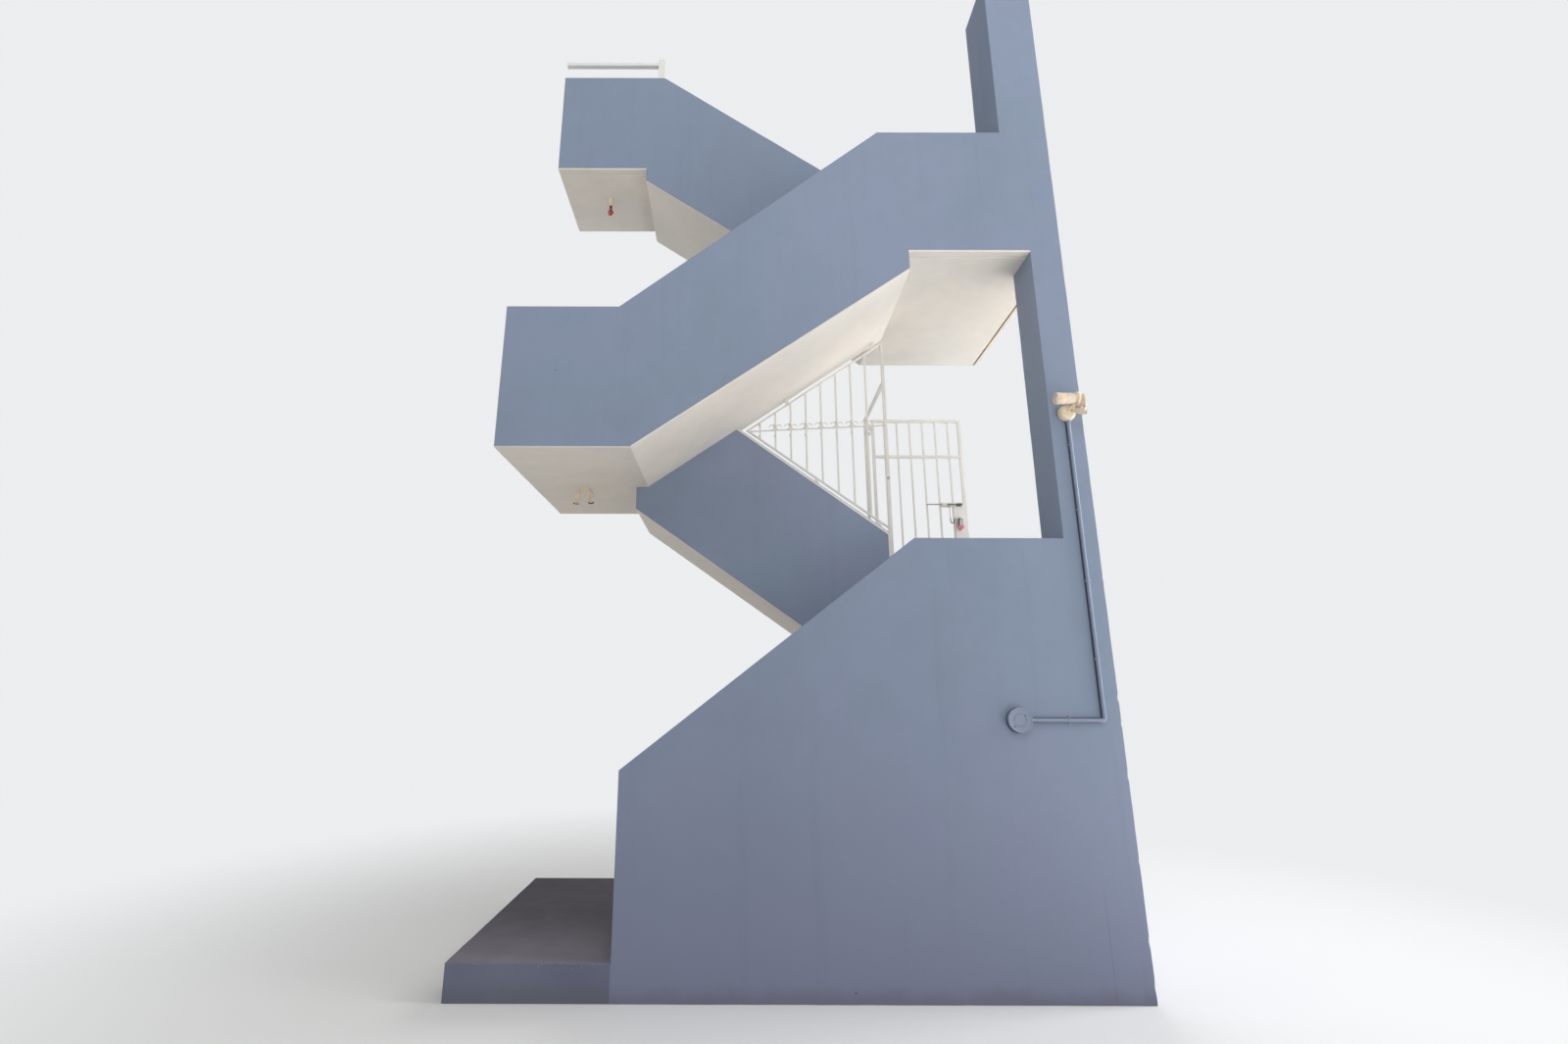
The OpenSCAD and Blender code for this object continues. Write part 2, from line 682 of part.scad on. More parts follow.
// The gate hangs on the building side of the back lane and stands open along the wall at rest
jamb_y = stair_d - gate_post_w;
post_face_x = mid_end_x + gate_post_w;
hinge_x = post_face_x + leaf_lap_gap + leaf_t / 2;
hinge_y = stair_d - leaf_wall_gap - leaf_t / 2;
barrel_r = pin_r + pin_gap + barrel_wall;
leaf_foot_z = lower_z + leaf_foot_gap;
leaf_top_z = lower_z + leaf_top_h;
gate_head_z = lower_z + gate_head_h;
post_near_y = grille_y + gate_post_w / 2;
leaf_x0 = hinge_x + barrel_r + leaf_side_gap;
leaf_x1 = hinge_x + hinge_y - post_near_y + leaf_lap;
leaf_y0 = hinge_y - leaf_t / 2;
leaf_rail_z = leaf_top_z - leaf_rail_down;
hinge_in = 110;
hinge_zs = [leaf_foot_z + hinge_in, (leaf_foot_z + leaf_top_z) / 2, leaf_top_z - hinge_in];

// The bolt runs in front of the leaf, so that it meets the middle of the gate post
bolt_z = lower_z + bolt_h;
bolt_y = leaf_y0 - leaf_lap_gap - gate_post_w / 2;
bolt_x1 = hinge_x + hinge_y - post_near_y - bolt_end_gap;

// The post that takes the bolt when the gate is closed
module gate_post() place() color(white) difference() {
    translate([mid_end_x, grille_y - gate_post_w / 2, lower_z])
        cube([gate_post_w, gate_post_w, grille_roof(mid_end_x) - lower_z]);
    translate([mid_end_x + gate_post_w / 2, post_near_y + over, bolt_z]) rotate([90, 0, 0])
        cylinder(r = bolt_r + keeper_gap, h = gate_post_w + 2 * over);
}

module gate_frame() place() color(white) {
    translate([mid_end_x, jamb_y, lower_z])
        cube([gate_post_w, gate_post_w, gate_head_z - lower_z]);
    translate([mid_end_x, post_near_y, gate_head_z - gate_post_w])
        cube([gate_post_w, stair_d - post_near_y, gate_post_w]);
    for (z = hinge_zs) {
        translate([hinge_x, hinge_y, z - barrel_h]) cylinder(r = barrel_r, h = barrel_h);
        translate([hinge_x, hinge_y, z - over]) cylinder(r = pin_r, h = barrel_h + 2 * over);
        translate([post_face_x - over, hinge_y - barrel_wall, z - barrel_h])
            cube([hinge_x - post_face_x + over, 2 * barrel_wall, barrel_h]);
    }
}

// Outer half of one hinge, with the bore that turns on the pin
module leaf_barrel() difference() {
    union() {
        cylinder(r = barrel_r, h = barrel_h);
        translate([0, -barrel_wall, 0]) cube([leaf_x0 - hinge_x + over, 2 * barrel_wall, barrel_h]);
    }
    translate([0, 0, -over]) cylinder(r = pin_r + pin_gap, h = barrel_h + 2 * over);
}

module gate_leaf() place() color(white) {
    translate([leaf_x0, leaf_y0, leaf_foot_z]) difference() {
        cube([leaf_x1 - leaf_x0, leaf_t, leaf_top_z - leaf_foot_z]);
        translate([leaf_frame_w, -over, leaf_frame_w])
            cube([leaf_x1 - leaf_x0 - 2 * leaf_frame_w, leaf_t + 2 * over,
                leaf_top_z - leaf_foot_z - 2 * leaf_frame_w]);
    }
    translate([leaf_x0 + over, leaf_y0, leaf_rail_z - leaf_frame_w])
        cube([leaf_x1 - leaf_x0 - 2 * over, leaf_t, leaf_frame_w]);
    for (i = [1:leaf_bars])
        translate([leaf_x0 + i * (leaf_x1 - leaf_x0) / (leaf_bars + 1) - bar_w / 2,
            hinge_y - bar_w / 2, leaf_foot_z + over])
            cube([bar_w, bar_w, leaf_top_z - leaf_foot_z - 2 * over]);
    for (z = hinge_zs)
        translate([hinge_x, hinge_y, z + seat]) leaf_barrel();
}

// Gap kept between pieces that pass each other
move_gap = 5;

// The padlock is a heart: a square on its corner, with a round lobe on each upper side, which
// stands a little proud of it
lobe_r = padlock_w / (2 + sqrt(2));
lobe_x = lobe_r / sqrt(2);
heart_half = lobe_r - over;
padlock_gap = 8;
plate_y = leaf_y0 - seat - plate_t;
padlock_x = bolt_x1 - padlock_w / 2;
padlock_y = plate_y - padlock_t / 2 - padlock_gap;
padlock_top_z = bolt_z - lock_down;
shackle_foot_z = padlock_top_z + seat;
shackle_top_z = shackle_foot_z + shackle_leg + shackle_r;

// The drawn bolt's loop clears the shackle, and the guides clear the loop, over the whole travel
guide_wall = 3.5;
guide_r = bolt_r + guide_wall;
loop_x = padlock_x - shackle_r - shackle_rod - move_gap - bolt_travel - loop_w / 2;
left_guide_x1 = loop_x - loop_w / 2 - guide_gap;
right_guide_x0 = loop_x + loop_w / 2 + bolt_travel + move_gap;

// A tab stands off the lock plate, with an eye that the shackle hangs in
eye_r = shackle_rod + 2;
eye_z = shackle_top_z - shackle_rod - 2 * seat + eye_r;
tab_t = 5;
tab_wall = 4;
tab_y0 = padlock_y - eye_r - tab_wall;
module lock_tab() difference() {
    translate([padlock_x - tab_t / 2, tab_y0, padlock_top_z + padlock_gap / 2])
        cube([tab_t, plate_y + over - tab_y0, eye_z + eye_r + tab_wall - padlock_top_z - padlock_gap / 2]);
    translate([padlock_x - tab_t, padlock_y, eye_z]) rotate([0, 90, 0])
        cylinder(r = eye_r, h = 2 * tab_t);
}

// A plate at the free edge of the leaf, with a strap at its top that runs on to the left guide
module lock_plate() place() color(white) {
    plate_z = padlock_top_z - lock_plate_drop;
    strap_x = left_guide_x1 - guide_w - plate_t;
    translate([leaf_x1 - lock_plate_w, plate_y, plate_z])
        cube([lock_plate_w, plate_t, bolt_z + strap_h / 2 - plate_z]);
    translate([strap_x, plate_y, bolt_z - strap_h / 2])
        cube([leaf_x1 - strap_x, plate_t, strap_h]);
    lock_tab();
}

module padlock() place() color(pink)
    translate([padlock_x, padlock_y + padlock_t / 2, padlock_top_z - lobe_r]) rotate([90, 0, 0]) {
        for (side = [-1, 1]) translate([side * lobe_x, 0, 0])
            cylinder(r = lobe_r, h = padlock_t);
        translate([0, -lobe_x, 0]) rotate(45) translate([-heart_half, -heart_half, 0])
            cube([2 * heart_half, 2 * heart_half, padlock_t]);
    }

module shackle() place() color(black)
    translate([padlock_x, padlock_y, shackle_foot_z]) {
        for (side = [-1, 1]) translate([side * shackle_r, 0, 0])
            cylinder(r = shackle_rod, h = shackle_leg);
        translate([0, 0, shackle_leg]) rotate([90, 0, 0])
            rotate_extrude(angle = 180) translate([shackle_r, 0]) circle(shackle_rod);
    }

// One guide round the bolt, from x on, against the strap
module bolt_guide(x) difference() {
    translate([x, bolt_y - guide_r, bolt_z - guide_r])
        cube([guide_w, plate_y - seat - bolt_y + guide_r, 2 * guide_r]);
    translate([x - over, bolt_y, bolt_z]) rotate([0, 90, 0])
        cylinder(r = bolt_r + bolt_gap, h = guide_w + 2 * over);
}

module bolt_guides() place() color(steel) {
    bolt_guide(left_guide_x1 - guide_w);
    bolt_guide(right_guide_x0);
}

module slide_bolt() place() color(steel) {
    translate([bolt_x1 - bolt_len, bolt_y, bolt_z]) rotate([0, 90, 0])
        cylinder(r = bolt_r, h = bolt_len);
    translate([loop_x, bolt_y, bolt_z]) {
        for (side = [-1, 1]) translate([side * (loop_w / 2 - loop_rod), 0, loop_w / 2 - loop_drop])
            cylinder(r = loop_rod, h = loop_drop - loop_w / 2);
        translate([0, 0, loop_w / 2 - loop_drop]) rotate([-90, 0, 0])
            rotate_extrude(angle = 180) translate([loop_w / 2 - loop_rod, 0]) circle(loop_rod);
    }
}

// A round rod from one point to another
module rod(from, to, r) {
    way = to - from;
    translate(from) rotate([0, acos(way.z / norm(way)), atan2(way.y, way.x)])
        cylinder(r = r, h = norm(way));
}

// Twin spotlight under the first floor landing
spot_arm_r = 8;
module spotlight() place() color(cream) translate([spot_x, spot_y, first_under]) {
    translate([0, 0, -spot_plate_h]) cylinder(r = spot_plate_r, h = spot_plate_h);
    for (side = [-1, 1]) {
        rod([side * spot_back_r, 0, -spot_plate_h / 2],
            [side * spot_side, 0, -spot_plate_h - spot_back_r], spot_arm_r);
        translate([side * spot_side, 0, -spot_plate_h - spot_head_len])
            cylinder(r1 = spot_head_r, r2 = spot_back_r, h = spot_head_len - spot_arm_r);
    }
}

// Bulb in its holder under the second floor landing
holder_wall = 5;
holder_mouth_r = bulb_neck_r + holder_wall;
module bulb_holder() place() color(cream) translate([bulb_x, bulb_y, second_under - holder_h])
    cylinder(r1 = holder_mouth_r, r2 = holder_r, h = holder_h);

module bulb() place() color(red)
    translate([bulb_x, bulb_y, second_under - holder_h - seat - bulb_neck_h]) {
        sphere(bulb_r);
        cylinder(r1 = bulb_r * cos(30), r2 = bulb_neck_r, h = bulb_neck_h - bulb_neck_r);
        cylinder(r = bulb_neck_r, h = bulb_neck_h);
    }

// Floodlight on the post, where the conduit ends: a round base and two heads on arms over it, one
// along the wall and one turned out to the right
flood_x = stair_w - flood_in;
flood_arm_r = 10;
flood_step = 4;
right_turn = 60;
left_joint_x = 43;
left_joint = [left_joint_x, flood_joint_r - lamp_reach, flood_left_up];
right_mouth = [flood_in + lamp_side - flood_right_r * sin(right_turn),
    flood_right_r * cos(right_turn) - lamp_reach, flood_right_up];
right_back = right_mouth - flood_right_len * [cos(right_turn), -sin(right_turn), 0];

module floodlight() place() color(cream) translate([flood_x, 0, flood_z]) {
    rotate([90, 0, 0]) cylinder(r = flood_base_r, h = flood_base_h / 2);
    rotate([90, 0, 0]) cylinder(r = flood_base_r - flood_step, h = flood_base_h);
    translate(left_joint) rotate([0, 90, 0])
        cylinder(r = flood_joint_r, h = flood_joint_len, center = true);
    translate(left_joint) rotate([0, -90, 0]) cylinder(r = flood_left_r, h = flood_left_len);
    translate(right_mouth) rotate([0, 90, -right_turn]) mirror([0, 0, 1])
        cylinder(r1 = flood_right_r, r2 = flood_back_r, h = flood_right_len);
    rod([0, -flood_base_h / 2, 0], left_joint, flood_arm_r);
    rod([flood_base_r / 2, -flood_base_h / 2, 0], right_back, flood_arm_r);
}

// The sensor looks down to the right from a ball joint in front of the base
sensor_x = 29;
sensor_way = [0.75, -0.6, -0.25];
sensor_neck_r = 10;
sensor_ball_r = 12;
sensor_back_r = 14;
module motion_sensor() place() color(cream)
    translate([flood_x + sensor_x, -flood_base_h - seat, flood_z]) {
        rotate([90, 0, 0]) cylinder(r = sensor_neck_r, h = sensor_ball_r);
        translate([0, -sensor_ball_r, 0]) {
            sphere(sensor_ball_r);
            rotate([0, acos(sensor_way.z / norm(sensor_way)), atan2(sensor_way.y, sensor_way.x)])
                cylinder(r1 = sensor_back_r, r2 = sensor_r, h = sensor_len);
        }
    }

// The conduit runs up from the box's side to the floodlight, with a wider elbow at the corner
elbow_wall = 3;
elbow_r = conduit_r + elbow_wall;
elbow_len = 50;
cover_rim = 3;
conduit_x = stair_w - conduit_in;
module conduit() place() color(blue) translate([conduit_x, -elbow_r, conduit_z]) {
    cylinder(r = conduit_r, h = flood_z - flood_base_r - seat - conduit_z);
    cylinder(r = elbow_r, h = elbow_len);
    sphere(elbow_r);
    rotate([0, -90, 0])
        cylinder(r = conduit_r, h = box_in - conduit_in - box_r + cover_rim - seat);
    rotate([0, -90, 0]) cylinder(r = elbow_r, h = elbow_len);
}

// Junction box with a cover that stands a little out all round
module junction_box() place() color(blue)
    translate([stair_w - box_in, 0, conduit_z]) rotate([90, 0, 0]) {
        cylinder(r = box_r - cover_rim, h = box_d);
        translate([0, 0, box_d - box_cover_t]) cylinder(r = box_r, h = box_cover_t);
    }

porch();
porch_floor();
front_wall();
side_wall();
corner_post();
upper_post();
flight_1();
flight_1_treads();
lower_landing();
flight_2();
flight_2_treads();
flight_2_parapet();
first_landing();
first_landing_parapet();
flight_3();
flight_3_treads();
flight_3_parapet();
upper_landing();
upper_landing_parapet();
upper_side_parapet();
flight_4();
flight_4_treads();
flight_4_parapet();
second_landing();
second_landing_parapet();
top_rail();
stair_grille();
gate_post();
gate_frame();
gate_leaf();
lock_plate();
bolt_guides();
slide_bolt();
padlock();
shackle();
spotlight();
bulb_holder();
bulb();
floodlight();
motion_sensor();
conduit();
junction_box();
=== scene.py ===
import json
import math
import random

import bmesh
import bpy
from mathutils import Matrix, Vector, noise
from mathutils.bvhtree import BVHTree


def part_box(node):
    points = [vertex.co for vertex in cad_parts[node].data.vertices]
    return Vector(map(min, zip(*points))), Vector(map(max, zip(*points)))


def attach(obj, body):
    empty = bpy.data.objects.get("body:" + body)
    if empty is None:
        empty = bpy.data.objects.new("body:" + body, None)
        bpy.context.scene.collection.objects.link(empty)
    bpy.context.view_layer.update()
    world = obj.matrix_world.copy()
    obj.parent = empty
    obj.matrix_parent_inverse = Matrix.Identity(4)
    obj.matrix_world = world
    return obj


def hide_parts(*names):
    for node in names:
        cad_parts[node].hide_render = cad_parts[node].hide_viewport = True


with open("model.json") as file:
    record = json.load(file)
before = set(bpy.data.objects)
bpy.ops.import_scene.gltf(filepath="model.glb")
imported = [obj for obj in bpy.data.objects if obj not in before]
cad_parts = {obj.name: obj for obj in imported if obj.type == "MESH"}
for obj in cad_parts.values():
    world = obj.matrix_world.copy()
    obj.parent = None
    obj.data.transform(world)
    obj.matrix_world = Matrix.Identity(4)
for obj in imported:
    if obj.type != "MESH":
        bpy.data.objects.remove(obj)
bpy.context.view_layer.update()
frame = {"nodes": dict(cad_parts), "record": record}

nodes = frame["nodes"]

# The photograph's frame, in its own pixels, and the camera solved from the stair's edges
PHOTO_W = 1600
PHOTO_H = 1065
SENSOR_MM = 36.0
FOCAL_PX = 707.17
CENTRE_U = 751.94
CENTRE_V = 523.95
EYE = (-0.351, -5.145, 1.66)
PITCH_UP = math.radians(14.302)
ROLL = math.radians(-0.165)

# The stair's own corner, at its foot, on the left and in front, and its back
LEFT_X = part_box("porch")[0].x
FRONT_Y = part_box("front_wall")[0].y
FOOT_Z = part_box("front_wall")[0].z
BACK_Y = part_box("first_landing")[1].y

# Places of the fittings and of what carries them, in millimetres from that corner
PORCH_TOP = 200
SLAB_UNDER = 3209
POST_LEFT = 3686
CONDUIT_X = 3801
CONDUIT_OUT = 14
BOX_X = 3293
BOX_Z = 1493
BOLT_Y = 1723
BOLT_Z = 3291
BULB_X = 407
BULB_Y = 1308
LOCK_X = 3611
LOCK_FRONT = 1716.8
LOCK_Y = 1726.7
GATE_POST_X = 2804
HINGE_ZS = (1935, 2971, 4007)
RAIL_YS = (949, 989)

FRONT = Vector((0.0, -1.0, 0.0))
UP = Vector((0.0, 0.0, 1.0))
DOWN = -UP
RIGHT = Vector((1.0, 0.0, 0.0))
LEFT = -RIGHT


def mm(length):
    return length / 1000


def step(x, y, z):
    """A step in millimetres."""
    return Vector((mm(x), mm(y), mm(z)))


def at(x, y, z):
    """A place measured in millimetres from the stair's own corner, as a place in the scene."""
    return Vector((LEFT_X + mm(x), FRONT_Y + mm(y), FOOT_Z + mm(z)))


def linear(red, green, blue):
    """A colour written in the photograph's own 0 to 255 values, as the shader's linear colour."""
    def channel(value):
        value /= 255
        return value / 12.92 if value <= 0.04045 else ((value + 0.055) / 1.055) ** 2.4
    return (channel(red), channel(green), channel(blue), 1.0)


def toned(colour, factor, lift=0.0):
    """The same colour, darker or lighter."""
    return tuple(min(1.0, channel * factor + lift) for channel in linear(*colour)[:3]) + (1.0,)


def grey(level):
    """A grey that a colour is multiplied by."""
    return (level, level, level, 1.0)


class Graph:
    """A node tree written one node a line: its place, what it is given, and where it ends."""

    def __init__(self, tree):
        self.tree = tree
        self.place = self.given = self.ends = None

    def find(self, kind):
        return next(node for node in self.tree.nodes if node.type == kind)

    def plug(self, value, socket):
        """Feeds a socket with another one, a value, or a colour in the photograph's own values."""
        if isinstance(value, bpy.types.NodeSocket):
            self.tree.links.new(value, socket)
        elif socket.type == "RGBA" and len(value) == 3:
            socket.default_value = linear(*value)
        else:
            socket.default_value = value

    def give(self, **values):
        """Feeds values to the sockets in which the tree ends."""
        for name, value in values.items():
            self.plug(value, self.ends[name.replace("_", " ")])

    def add(self, kind, sockets=None, **settings):
        node = self.tree.nodes.new(kind)
        for name, value in settings.items():
            setattr(node, name, value)
        for name, value in (sockets or {}).items():
            self.plug(value, node.inputs[name])
        return node

    def use(self, group, **values):
        """Places a shared node group with its own values."""
        node = self.add("ShaderNodeGroup", node_tree=GROUPS[group])
        self.plug(self.place, node.inputs["Place"])
        for name, value in values.items():
            self.plug(value, node.inputs[name.replace("_", " ")])
        return node.outputs

    def math(self, operation, a, b=0):
        return self.add("ShaderNodeMath", {0: a, 1: b}, operation=operation).outputs[0]

    def plus(self, a, b):
        return self.math("ADD", a, b)

    def minus(self, a, b):
        return self.math("SUBTRACT", a, b)

    def times(self, *factors):
        """The product of two or more values."""
        product = factors[0]
        for factor in factors[1:]:
            product = self.math("MULTIPLY", product, factor)
        return product

    def vector(self, operation, a, b):
        return self.add("ShaderNodeVectorMath", {0: a, 1: b}, operation=operation).outputs[0]

    def axes(self):
        return self.add("ShaderNodeSeparateXYZ", {0: self.place}).outputs

    def channels(self, colour):
        return self.add("ShaderNodeSeparateColor", {0: colour}).outputs

    def noise(self, scale, detail=3, roughness=0.5, distortion=0, stretch=None, place=None):
        """Noise at a place, which may first be stretched along the three axes."""
        place = place or self.place
        if stretch:
            place = self.vector("MULTIPLY", place, stretch)
        return self.add("ShaderNodeTexNoise", {
            "Vector": place, "Scale": scale, "Detail": detail, "Roughness": roughness,
            "Distortion": distortion}).outputs[0]

    def cells(self, scale, place=None):
        return self.add("ShaderNodeTexVoronoi",
                        {"Vector": place or self.place, "Scale": scale}).outputs

    def ramp(self, value, low_in, high_in, low_out=0, high_out=1):
        """A value that runs smoothly from one level to another."""
        return self.add("ShaderNodeMapRange", {
            "Value": value, "From Min": low_in, "From Max": high_in,
            "To Min": low_out, "To Max": high_out}, interpolation_type="SMOOTHSTEP").outputs[0]

    def mix(self, factor, a, b, blend="MIX"):
        node = self.add("ShaderNodeMix", data_type="RGBA", blend_type=blend)
        sockets = {socket.identifier: socket for socket in node.inputs}
        self.plug(factor, sockets["Factor_Float"])
        self.plug(a, sockets["A_Color"])
        self.plug(b, sockets["B_Color"])
        return next(socket for socket in node.outputs if socket.identifier == "Result_Color")

    def shaded(self, tint, factor, a, b):
        """A colour multiplied by a grey that varies between two levels."""
        return self.mix(1, tint, self.mix(factor, grey(a), grey(b)), "MULTIPLY")

    def coats(self, tint, *coats):
        """Lays coats over a colour, each with its mask, how much of it shows, and its colour."""
        for mask, share, colour in coats:
            tint = self.mix(mask if share == 1 else self.times(mask, share), tint, colour)
        return tint

    def relief(self, height, depth):
        """Feeds a height to the shader's normal, at a depth in metres."""
        node = self.add("ShaderNodeBump", {"Height": height, "Strength": 1, "Distance": depth})
        self.give(Normal=node.outputs[0])


GROUPS = {}


def new_group(name, inputs, outputs):
    """An empty node group that takes a place and named values; a Colour is put out as one."""
    tree = GROUPS[name] = bpy.data.node_groups.new(name, "ShaderNodeTree")
    tree.interface.new_socket("Place", in_out="INPUT", socket_type="NodeSocketVector")
    for socket in inputs:
        tree.interface.new_socket(socket, in_out="INPUT", socket_type="NodeSocketFloat")
    for socket in outputs:
        kind = "Color" if socket == "Colour" else "Float"
        tree.interface.new_socket(socket, in_out="OUTPUT", socket_type="NodeSocket" + kind)
    g = Graph(tree)
    g.given = g.add("NodeGroupInput").outputs
    g.ends = g.add("NodeGroupOutput").inputs
    g.place = g.given["Place"]
    return g


def make_render_coat():
    """Rolled paint over trowelled cement render: orange peel, grit, trowel sweeps, cloudy tone."""
    g = new_group("render_coat", ("Stipple", "Waves"), ("Height", "Cloud", "Grit", "Hue"))
    stipple = g.noise(260, 4, 0.6)
    pebble = g.noise(75, 2)
    turned = g.add("ShaderNodeVectorRotate", {"Vector": g.place, "Angle": 0.6},
                   rotation_type="Y_AXIS").outputs[0]
    sweep = g.noise(2.6, distortion=0.6, stretch=(1, 1, 5), place=turned)
    waves = g.noise(3.2, 2, distortion=0.4, stretch=(1, 1, 0.55))
    fine = g.times(g.plus(stipple, pebble), g.given["Stipple"])
    broad = g.times(g.plus(waves, g.times(sweep, 0.5)), g.given["Waves"])
    cloud = g.noise(1.15, 5, 0.55, stretch=(1, 1, 0.6))
    patch = g.noise(6, 4, 0.6, place=turned)
    tone = g.plus(g.times(cloud, 0.7), g.times(patch, 0.3))
    hue = g.noise(0.85, 3, 0.6, place=g.vector("ADD", g.place, (7, 3, 11)))
    g.give(Height=g.plus(fine, broad), Cloud=g.ramp(tone, 0.36, 0.64),
           Grit=g.ramp(stipple, 0.35, 0.65), Hue=g.ramp(hue, 0.38, 0.62))


def make_weather_and_shade():
    """Dirt on an outside wall, splashes at its foot and runs from rain, and a painted shade over
    its low parts.
    """
    g = new_group("weather_and_shade", ("Splash Height",), ("Splash", "Runs", "Low"))
    height = g.axes()[2]
    level = g.minus(height, g.times(g.noise(5, 5, 0.6), 0.12))
    runs = g.noise(1, 4, 0.62, stretch=(9, 9, 0.35))
    drift = g.plus(height, g.times(g.noise(0.9), 1.2))
    g.give(Splash=g.ramp(g.minus(g.given["Splash Height"], level), 0, 0.10),
           Runs=g.ramp(runs, 0.52, 0.74), Low=g.ramp(drift, 0.5, 2.6, 1, 0))


def make_flecks():
    """Small scattered flecks, such as chips in paint, each with a ragged edge."""
    g = new_group("flecks", ("Spacing", "Size", "Share"), ("Mask",))
    spacing = g.given["Spacing"]
    ragged = g.add("ShaderNodeTexNoise", {"Vector": g.place, "Scale": 160, "Detail": 3}).outputs[1]
    shift = g.vector("MULTIPLY", ragged, (0.006, 0.006, 0.006))
    cell = g.cells(g.math("DIVIDE", 1, spacing), g.vector("ADD", g.place, shift))
    pick = g.channels(cell["Color"])
    chosen = g.math("LESS_THAN", pick[0], g.given["Share"])
    size = g.times(g.given["Size"], g.plus(pick[1], 0.35))
    inside = g.ramp(g.minus(size, g.times(cell["Distance"], spacing)), 0, 0.0008)
    g.give(Mask=g.times(inside, chosen))


def make_rust():
    """Rust that breaks through paint in patches, with a stain round each."""
    g = new_group("rust", ("Share",), ("Mask", "Stain", "Colour"))
    patch = g.plus(g.noise(38, 6, 0.68), g.given["Share"])
    g.give(Mask=g.ramp(patch, 0.86, 0.92), Stain=g.ramp(patch, 0.76, 0.92),
           Colour=g.mix(g.noise(150, 5), (84, 54, 38), (152, 104, 72)))


def make_brush_marks():
    """The fine upright lines that a brush leaves in thick paint."""
    g = new_group("brush_marks", (), ("Height",))
    g.give(Height=g.noise(310, stretch=(1, 1, 0.13)))


def make_grime():
    """Fine dust, and greasy dirt in broader patches."""
    g = new_group("grime", ("Dust Scale", "Patch Scale"), ("Dust", "Patches"))
    patches = g.noise(g.given["Patch Scale"], 5, 0.65, stretch=(1, 1, 0.5))
    g.give(Dust=g.ramp(g.noise(g.given["Dust Scale"], 5), 0.42, 0.82),
           Patches=g.ramp(patches, 0.5, 0.76))


make_render_coat()
make_weather_and_shade()
make_flecks()
make_rust()
make_brush_marks()
make_grime()

FINISHES = {}


def new_material(name):
    """Starts a finish: a Principled shader, and a graph that ends in its sockets."""
    material = FINISHES[name] = bpy.data.materials.new(name)
    material.use_nodes = True
    g = Graph(material.node_tree)
    g.ends = g.find("BSDF_PRINCIPLED").inputs
    g.place = g.add("ShaderNodeTexCoord").outputs["Object"]
    return g


def make_paint(name, colour, other, low=None, splash=-1, stipple=0.24):
    """Masonry paint in two close tints that drift into each other, rolled on and weathered, with
    painted shade over its low parts where a low tint is given.
    """
    g = new_material(name)
    coat = g.use("render_coat", Stipple=stipple, Waves=1)
    weather_and_shade = g.use("weather_and_shade", Splash_Height=splash)
    chips = g.use("flecks", Spacing=0.35, Size=0.0026, Share=0.12)["Mask"]
    tint = g.mix(coat["Hue"], colour, other)
    tint = g.shaded(tint, coat["Cloud"], 0.955, 1.045)
    tint = g.coats(tint, (coat["Grit"], 0.10, toned(colour, 0.72)))
    # A low tint, where one is given, is painted shade that spreads over the low parts of the wall
    if low:
        tint = g.coats(tint, (weather_and_shade["Low"], 0.75, low))
    tint = g.coats(tint, (weather_and_shade["Runs"], 0.09, toned(colour, 0.6)),
                   (weather_and_shade["Splash"], 0.35, (104, 102, 104)),
                   (chips, 0.5, (190, 190, 192)))
    g.give(Base_Color=tint, Roughness=g.ramp(coat["Cloud"], 0, 1, 0.60, 0.76),
           Specular_IOR_Level=0.28)
    g.relief(g.minus(coat["Height"], g.times(chips, 0.6)), 0.0012)
    return g, tint


def make_blue_paint():
    """The wall's blue, turned more violet low down by painted shade, with the fine crack where the
    wall meets the post.
    """
    # The low tint is painted shade, more violet towards the wall's foot
    g, tint = make_paint("blue_paint", (137, 151, 172), (141, 152, 175),
                         low=(141, 145, 172), splash=0.05)
    axes = g.axes()
    wander = g.times(g.minus(g.noise(9, 6), 0.5), 0.018)
    away = g.math("ABSOLUTE", g.minus(g.plus(axes[0], wander), at(POST_LEFT, 0, 0).x))
    line = g.times(g.ramp(away, 0.0004, 0.0012, 1, 0), g.ramp(axes[2], 0.35, 0.75, 1, 0))
    g.give(Base_Color=g.coats(tint, (line, 0.55, (64, 66, 78))))


def make_porch_paint():
    """The porch's darker paint, scuffed pale along its upper arris."""
    g, tint = make_paint("porch_paint", (120, 124, 147), (126, 132, 152), splash=0.07)
    height = g.plus(g.axes()[2], g.times(g.minus(g.noise(42, 6, 0.7), 0.5), 0.022))
    worn = g.ramp(height, at(0, 0, PORCH_TOP - 5).z, at(0, 0, PORCH_TOP - 1).z)
    g.give(Base_Color=g.coats(tint, (worn, 0.55, (158, 156, 166))))


def make_concrete():
    """Bare cement where the stair is cut off: pores, grit and cloudy laitance."""
    g = new_material("bare_joint")
    cloud = g.noise(3.5, 6, 0.6)
    grit = g.noise(190)
    pores = g.use("flecks", Spacing=0.022, Size=0.0022, Share=0.35)["Mask"]
    tint = g.mix(g.ramp(cloud, 0.35, 0.65), (142, 139, 133), (176, 172, 165))
    tint = g.coats(tint, (g.ramp(grit, 0.4, 0.7), 0.3, (118, 114, 108)),
                   (pores, 1, (84, 81, 77)))
    g.give(Base_Color=tint, Roughness=g.ramp(cloud, 0.3, 0.7, 0.78, 0.9))
    g.relief(g.minus(g.times(grit, 0.5), pores), 0.0016)


